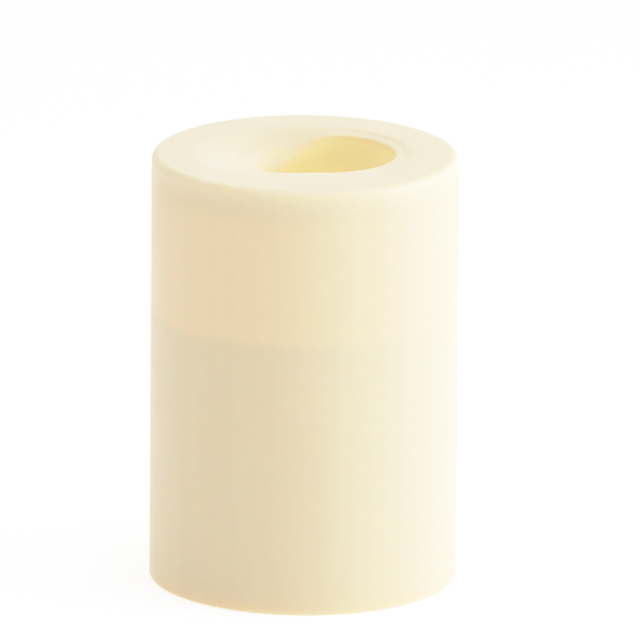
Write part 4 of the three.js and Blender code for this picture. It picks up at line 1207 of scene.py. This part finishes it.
def make_bridge():
    low, high = box("bridge_contact")
    z = low.z
    crown = high.z
    strip = slab(rectangle(-CELL_X, -3, 8.8, 3, 0.4), z, z + 0.5, 0.1)
    disc = post(5.6, z, z + 0.5, 0.12, 48).moved(-CELL_X)
    outer = rounded([(7.8, z), (10.2, crown), (17.4, crown), (19.8, z)], 1.4, False, 5)
    inner = rounded([(8.3, z), (10.7, crown - 0.5), (16.9, crown - 0.5), (19.3, z)], 1.1, False, 5)
    tongue = slab((outer + inner[::-1])[::-1], -3, 3, 0.1).turned(90, "X")
    contact = lathe([(0, 0), (1.9, 0), (1.4, 0.24), (0, 0.3)], 32).moved(CELL_X, 0, crown - 0.05)
    holes = placed(bore(1.6, z, z + 1, 0.08), PEGS)
    shape = carved(strip, [disc, tongue, contact], holes)
    build("bridge_strip", shape, NICKEL, "nickel", ["bridge_contact"], body="battery_cover")


def make_spring(name, node, body, x, foot, top, turns):
    wire = 0.45
    low, high = box(node)
    path = helix(x, foot, top, low.z + wire, high.z - wire, turns)
    build(name, tube(path, wire), NICKEL, "nickel", [node], body, angle=60)


# ---- The base plate and the cover ----
SIGN_HEIGHT = 0.15
SIGN_ROOT = 0.1  # how far a sign reaches into its face


def raised(outline, face, bevel=0.06):
    """A sign that stands proud of a face that looks down."""
    return slab(outline, face - SIGN_HEIGHT, face + SIGN_ROOT, bevel)


def ring_sign(x, y, radius, width, face):
    return hoop(radius - width, radius, face - SIGN_HEIGHT, face + SIGN_ROOT, 0.05, 48).moved(x, y)


def padlock(face, is_open):
    """A padlock with its shackle towards +X; an open one's shackle is drawn out and free on one side."""
    case = raised(rectangle(-2.2, -1.6, 0.4, 1.6, 0.35), face)
    foot = -0.3
    free = 1.3 if is_open else foot
    crown = 2.2 if is_open else 1.4
    outer = 1.15
    inner = 0.7
    outline = [(foot, -outer), *arc(crown, 0, outer, -90, 90, 14), (free, outer), (free, inner),
               *arc(crown, 0, inner, 90, -90, 14), (foot, -inner)]
    keyhole = post(0.42, face - 1, face + 1, 0.02, 20).moved(-0.9)
    return carved(case, [raised(outline, face)], [keyhole])


def switch_signs(face):
    """Beside the slot: a bar for on, a ring for off and a clock for the timer."""
    y = -34.85
    bar = raised(rectangle(-3.2, y - 0.9, -2.8, y + 0.9, 0.1), face)
    long_hand = raised(rectangle(2.9, y - 0.1, 3.1, y + 0.65, 0.05), face, 0.03)
    short_hand = raised(rectangle(2.9, y - 0.1, 3.55, y + 0.1, 0.05), face, 0.03)
    hands = carved(long_hand, [short_hand])
    return [bar, ring_sign(0, y, 0.85, 0.3, face), ring_sign(3, y, 0.95, 0.25, face), hands]


def make_base():
    z = BASE_Z
    top = z + 2.6
    rim = BASE_RADIUS
    profile = [
        (32.6, z), (rim, z), (rim, z + 0.6), (rim - 1.1, z + 0.6), (rim - 1.1, top - 0.6), (rim, top - 0.6),
        (rim, top), (34.2, top), (34.2, 8.5), (32.2, 8.5), (32.2, COLLAR_TOP_Z), (30.6, COLLAR_TOP_Z),
        (30.6, 6.9), (32.6, 6.9),
    ]
    body = spun(profile, 0.3, 192)
    screw_at = [polar(BASE_SCREW_RADIUS, angle) for angle in BASE_SCREW_ANGLES]
    ear_at = [polar(HOUSING_SCREW_RADIUS, angle) for angle in HOUSING_SCREW_ANGLES]
    cups = placed(post(3.9, z + 0.3, 7.8), screw_at)
    posts = placed(post(2.9, top - 0.5, COLLAR_TOP_Z), ear_at)
    posts += placed(post(1.9, top - 0.5, 7.9), SWITCH_SCREWS)
    ramp_start = -52
    ramp_end = 9
    ramp_z = 9.35 + COVER_LEAD * (ramp_start + ramp_end) / 2 / 360
    ramps = [thread_length(28.6, 31.4, 1.5, ramp_z, lug + ramp_start, lug + ramp_end) for lug in LUG_ANGLES]
    ribs = around(block((34, -0.6, top - 0.4), (42.5, 0.6, top + 2.2)), range(0, 360, 60))
    wells = placed(bore(3.1, z, 6, 0.4), screw_at)
    holes = placed(bore(SCREW_HOLE, 5.5, 9, 0.1), screw_at)
    pilots = placed(bore(SCREW_HOLE, top + 0.4, COLLAR_TOP_Z + 1, 0.05), ear_at)
    pilots += placed(bore(SCREW_HOLE, z + 1, 9, 0.05), SWITCH_SCREWS)
    slot = pocket(rectangle(-5.6, -41, 5.6, -36.6, 0.6), z, top + 1, 0.35)
    add = [merged(cups), merged(posts), *ramps, merged(ribs)]
    shape = carved(body, add, [merged(wells), merged(holes), merged(pilots), slot])
    build("base", shape, IVORY, "ivory_plastic", ["base_plate"])
    lock_radius = 38.4
    closed = padlock(z, False).turned(180).moved(lock_radius)
    opened = padlock(z, True).turned(180).moved(lock_radius).turned(-COVER_TURN)
    build("base_marks", merged([closed, opened, *switch_signs(z)]), MARK, "black_plastic")


def finger_outline(radius, near, corner):
    """A piece of a circle beyond y = near, with rounded corners."""
    y = near + corner
    x = math.sqrt((radius - corner) ** 2 - y ** 2)
    lean = math.degrees(math.atan2(y, x))
    right = arc(x, y, corner, -90, lean, 8)
    outer = arc(0, 0, radius, lean, 180 - lean, 40)
    left = arc(-x, y, corner, 180 - lean, 270, 8)
    return [*right, *outer[1:-1], *left]


def turn_arrow(face):
    """A bent arrow on the cover that shows which way it opens."""
    neck = 248
    tail = 284
    tip = 242
    head = [polar(24.8, neck), polar(26.6, tip), polar(28.4, neck)]
    return raised([*arc(0, 0, 27.3, neck, tail, 24), *arc(0, 0, 25.9, tail, neck, 24), *head], face)


def make_cover():
    z = BASE_Z
    top = z + 2
    edge = COVER_RADIUS
    profile = [
        (0, z), *arc(edge - 0.8, z + 0.8, 0.8, -90, 0, 5), (edge, top), (30.1, top), (30.1, top + 1),
        (28.2, top + 1), (28.2, NECK_TOP_Z), (26.6, NECK_TOP_Z), (26.6, top), (0, top),
    ]
    body = spun(profile, 0.2, 192)
    lugs = [thread_length(27.4, 30.2, 1.5, 11.2, angle - 11, angle + 11) for angle in LUG_ANGLES]
    pegs = placed(post(1.2, top - 0.5, top + 1.4), PEGS)
    cups = around(slab(finger_outline(24, 6, 3), top - 0.5, 9.7, 0.6), (0, 180))
    recesses = around(pocket(finger_outline(22.5, 7.5, 2.2), z, 8.2, 0.6, 1.0), (0, 180))
    grip_at = [(x, side * 7.55) for x in range(-14, 15, 2) for side in (-1, 1)]
    grips = placed(post(0.32, z + 0.9, 8.4, 0.1, 12), grip_at)
    ribs = [block((-26.8, y - 0.5, top - 0.3), (26.8, y + 0.5, top + 0.9)) for y in (-4.6, 4.6)]
    pointer = raised(rounded([(29.3, -0.9), (31.1, 0), (29.3, 0.9)], 0.15), z)
    cup = carved(body, [merged(lugs), merged(pegs), merged(cups), *ribs], [merged(recesses)])
    shape = carved(cup, [merged(grips)])
    build("cover", shape, IVORY, "ivory_plastic", ["battery_cover"], body="battery_cover")
    build("cover_marks", merged([turn_arrow(z), pointer]), MARK, "black_plastic", body="battery_cover")


def torus(radius, section, z):
    return lathe(arc(radius, z, section, 0, 342, 19), 192)


def make_seals():
    build("edge_seal", torus(43.75, 0.38, BASE_Z + 1.3), RUBBER, "black_rubber", ["base_seal"], angle=60)
    section = 0.64
    seal = torus(box("cover_seal")[1].x - section, section, middle_of("cover_seal").z)
    build("cover_ring", seal, RUBBER, "black_rubber", ["cover_seal"], body="cover_seal", angle=60)


# ---- The slide switch ----
def make_knob():
    low, high = box("switch_knob")
    x = (low.x + high.x) / 2
    y = (low.y + high.y) / 2
    stem = slab(rectangle(x - 2.2, y - 1.8, x + 2.2, y + 1.8, 0.5), low.z, 9.7, 0.4)
    slider = block((x - 2.2, y - 2.2, 9.1), (x + 2.2, y + 2.2, high.z), 0.25)
    grooves = [block((x + step - 0.3, y - 3, low.z - 1), (x + step + 0.3, y + 3, low.z + 0.45), 0.1)
               for step in (-1.1, 0, 1.1)]
    shape = carved(stem, [slider], grooves)
    build("knob", shape, BLACK, "black_plastic", ["switch_knob"], body="switch_knob")


def make_switch():
    y = SWITCH_Y
    z = box("switch_frame")[0].z
    top = box("switch_frame")[1].z
    ears = slab(rectangle(-10.9, y - 3.3, 10.9, y + 3.3, 1.2), z, z + 0.5, 0.1)
    can = block((-6.4, y - 3.3, z), (6.4, y + 3.3, top), 0.25)
    hollow = block((-5.9, y - 2.8, z + 0.5), (5.9, y + 2.8, top + 1), 0.1)
    slot = block((-5.6, y - 2.1, z - 1), (5.6, y + 2.1, z + 1), 0.1)
    holes = placed(bore(SCREW_HOLE, z, z + 1, 0.08), SWITCH_SCREWS)
    tabs = [block((side * 4 - 0.9, y + facing * 3.05 - 0.25, top - 0.4),
                  (side * 4 + 0.9, y + facing * 3.05 + 0.25, top + 0.35), 0.08)
            for side in (-1, 1) for facing in (-1, 1)]
    frame_shape = carved(ears, [can], [hollow, slot, *holes])
    build("switch_can", carved(frame_shape, tabs), STEEL, "steel", ["switch_frame"])
    body_top = 14.1
    body = block((-5.6, y - 2.5, z + 3), (5.6, y + 2.5, body_top), 0.2)
    build("switch_block", body, EPOXY, "black_plastic", ["switch_body"])
    for i, x in enumerate(TERMINALS_X):
        eye = post(0.35, -1, 1, 0.02, 16).turned(90, "X").moved(x, y, body_top + 1.6)
        terminal = slab(rectangle(x - 0.7, body_top - 0.5, x + 0.7, body_top + 2.4, 0.5), -0.25, 0.25, 0.06)
        terminal = terminal.turned(90, "X").moved(0, y)
        build(f"switch_terminal_{i + 1}", carved(terminal, [], [eye]), TIN, "steel")


# ---- Wires ----
def stripped(name, points, material, slot, node):
    """An insulated wire along a path, with tinned ends."""
    path = smooth_path(points)
    build(f"{name}_insulation", tube(path[4:-4], 0.6), material, slot, [node], angle=60)
    ends = [tube(path[:6], 0.32), tube(path[-6:], 0.32)]
    blob = spun([(0, -0.3), (0.7, -0.3), (0.62, 0.35), (0, 0.5)], 0.25, 20)
    blobs = [blob.moved(*point) for point in (path[0], path[-1])]
    build(f"{name}_ends", merged(ends), TIN, "steel")
    build(f"{name}_solder", merged(blobs), TIN, "steel")


def make_switch_wires():
    top = BOARD_HIGH.z + WIRE_OVER_BOARD
    y = SWITCH_Y
    finishes = [
        ("on", RED_WIRE, "wire_red"),
        ("common", BLACK_WIRE, "wire_black"),
        ("timer", WHITE_WIRE, "wire_white"),
    ]
    for i, (name, material, slot) in enumerate(finishes):
        x = TERMINALS_X[i]
        rise = (i - 1) * WIRE_STEP
        points = [
            (x, y, 17.1), (0.95 * x, y, 20), (1.2 * rise, y + 3.4, 27), (rise, y + 4.4, 40),
            (rise, y + 4.4, 60), (rise, y + 5.2, 67), (rise, y + 9, 70.6), (rise, y + 16, 72.4),
            (rise, y + 22, top + 2.6), (rise, y + 27, top + 0.3), (rise, y + 29, top),
        ]
        stripped(f"wire_{name}", points, material, slot, f"switch_wire_{name}")


def make_led_wires():
    top = BOARD_HIGH.z + WIRE_OVER_BOARD
    finishes = [(-1, "positive", RED_WIRE, "wire_red"), (1, "negative", BLACK_WIRE, "wire_black")]
    for side, name, material, slot in finishes:
        x = side * LEG_STEP
        points = [(x, 0, 88.7), (x, 0, 84), (1.2 * x, 1, 80.5), (2 * x, 3.6, 77.5), (2 * x, 5.6, top + 0.6),
                  (2 * x, 7, top)]
        stripped(f"wire_led_{name}", points, material, slot, f"led_wire_{name}")


# ---- Screws ----
SCREW_PITCH = 1.0
SCREW_CORE = 0.98
SCREW_CREST = 1.3
HEAD_HEIGHT = 1.7


def screw_shape(length, head):
    """A pan-head screw with a cross recess and a thread: its head's face at z = 0 and its point up."""
    sides = 20
    per_turn = 6
    half = 0.55 * head
    side = [(half, 0), (0.86 * head, 0.25), (head, 0.95), (head, 1.5), (head - 0.15, HEAD_HEIGHT)]
    outline = rounded(side, 0.3, False)
    loops = [[(*polar(r, 360 * k / sides), z) for k in range(sides)] for r, z in outline]
    count = round((length - HEAD_HEIGHT) * per_turn / SCREW_PITCH)
    for i in range(count + 1):
        z = mix(HEAD_HEIGHT, length, i / count)
        fade = smoothstep(0, 1.2, z - HEAD_HEIGHT) * smoothstep(0, 0.8, length - z)
        tip = mix(0.45, 1, smoothstep(0, 1.6, length - z))
        loop = []
        for k in range(sides):
            phase = (z / SCREW_PITCH - k / sides) % 1
            ridge = max(0.0, 1 - 3.2 * abs(phase - 0.5))
            loop.append((*polar(tip * mix(SCREW_CORE, SCREW_CREST, ridge * fade), 360 * k / sides), z))
        loops.append(loop)
    arm = layers(rectangle(-half, -0.32, half, 0.32, 0.1), [(-0.05, -0.5), (0.02, 0.4), (0.12, 1.05)])
    return carved(loft(loops), [], around(arm, (0, 90)))


def make_screws():
    shapes = {}
    nodes = sorted(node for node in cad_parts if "screw" in node)
    for i, node in enumerate(nodes):
        low, high = box(node)
        middle = middle_of(node)
        length = round(high.z - low.z, 2)
        head = round((high.x - low.x) / 2, 2)
        if (length, head) not in shapes:
            shapes[length, head] = screw_shape(length, head)
        shape = shapes[length, head].turned(37 * i)
        points_up = node.startswith(("base", "cap"))
        shape = shape if points_up else shape.turned(180, "X")
        face = low.z if points_up else high.z
        build(f"{node}_threaded", shape.moved(middle.x, middle.y, face), STEEL, "steel", [node], angle=40)


# ---- Assembly ----
make_camera()
make_light()
make_exposure()
make_floor()

make_shell()
make_shell_bosses()
make_led()
make_led_leads()
make_led_wires()
make_grommet()
make_deck()
make_housing()

make_board()
make_chip()
make_crystal()
make_capacitor()
make_resistor("led_resistor", [BANDS[0], BANDS[1], BANDS[0], BANDS[3]])
make_resistor("timer_resistor", [BANDS[2], BANDS[2], BANDS[0], BANDS[3]])
make_transistor()

make_cell("battery_cell_left", -CELL_X, 0)
make_cell("battery_cell_right", CELL_X, 180)
make_roof_contact("positive_contact", TAB_PLACES[0], 62.8, 5.4, pressed_up=True)
make_roof_contact("negative_contact", TAB_PLACES[1], 65.2, 6.2, pressed_up=False)
make_bridge()
make_spring("cover_spring", "bridge_spring", "battery_cover", -CELL_X, 5.2, 3.4, 3.5)
make_spring("roof_spring", "negative_spring", "candle", CELL_X, 3.4, 5.6, 2.5)

make_base()
make_cover()
make_seals()
make_knob()
make_switch()
make_switch_wires()
make_screws()
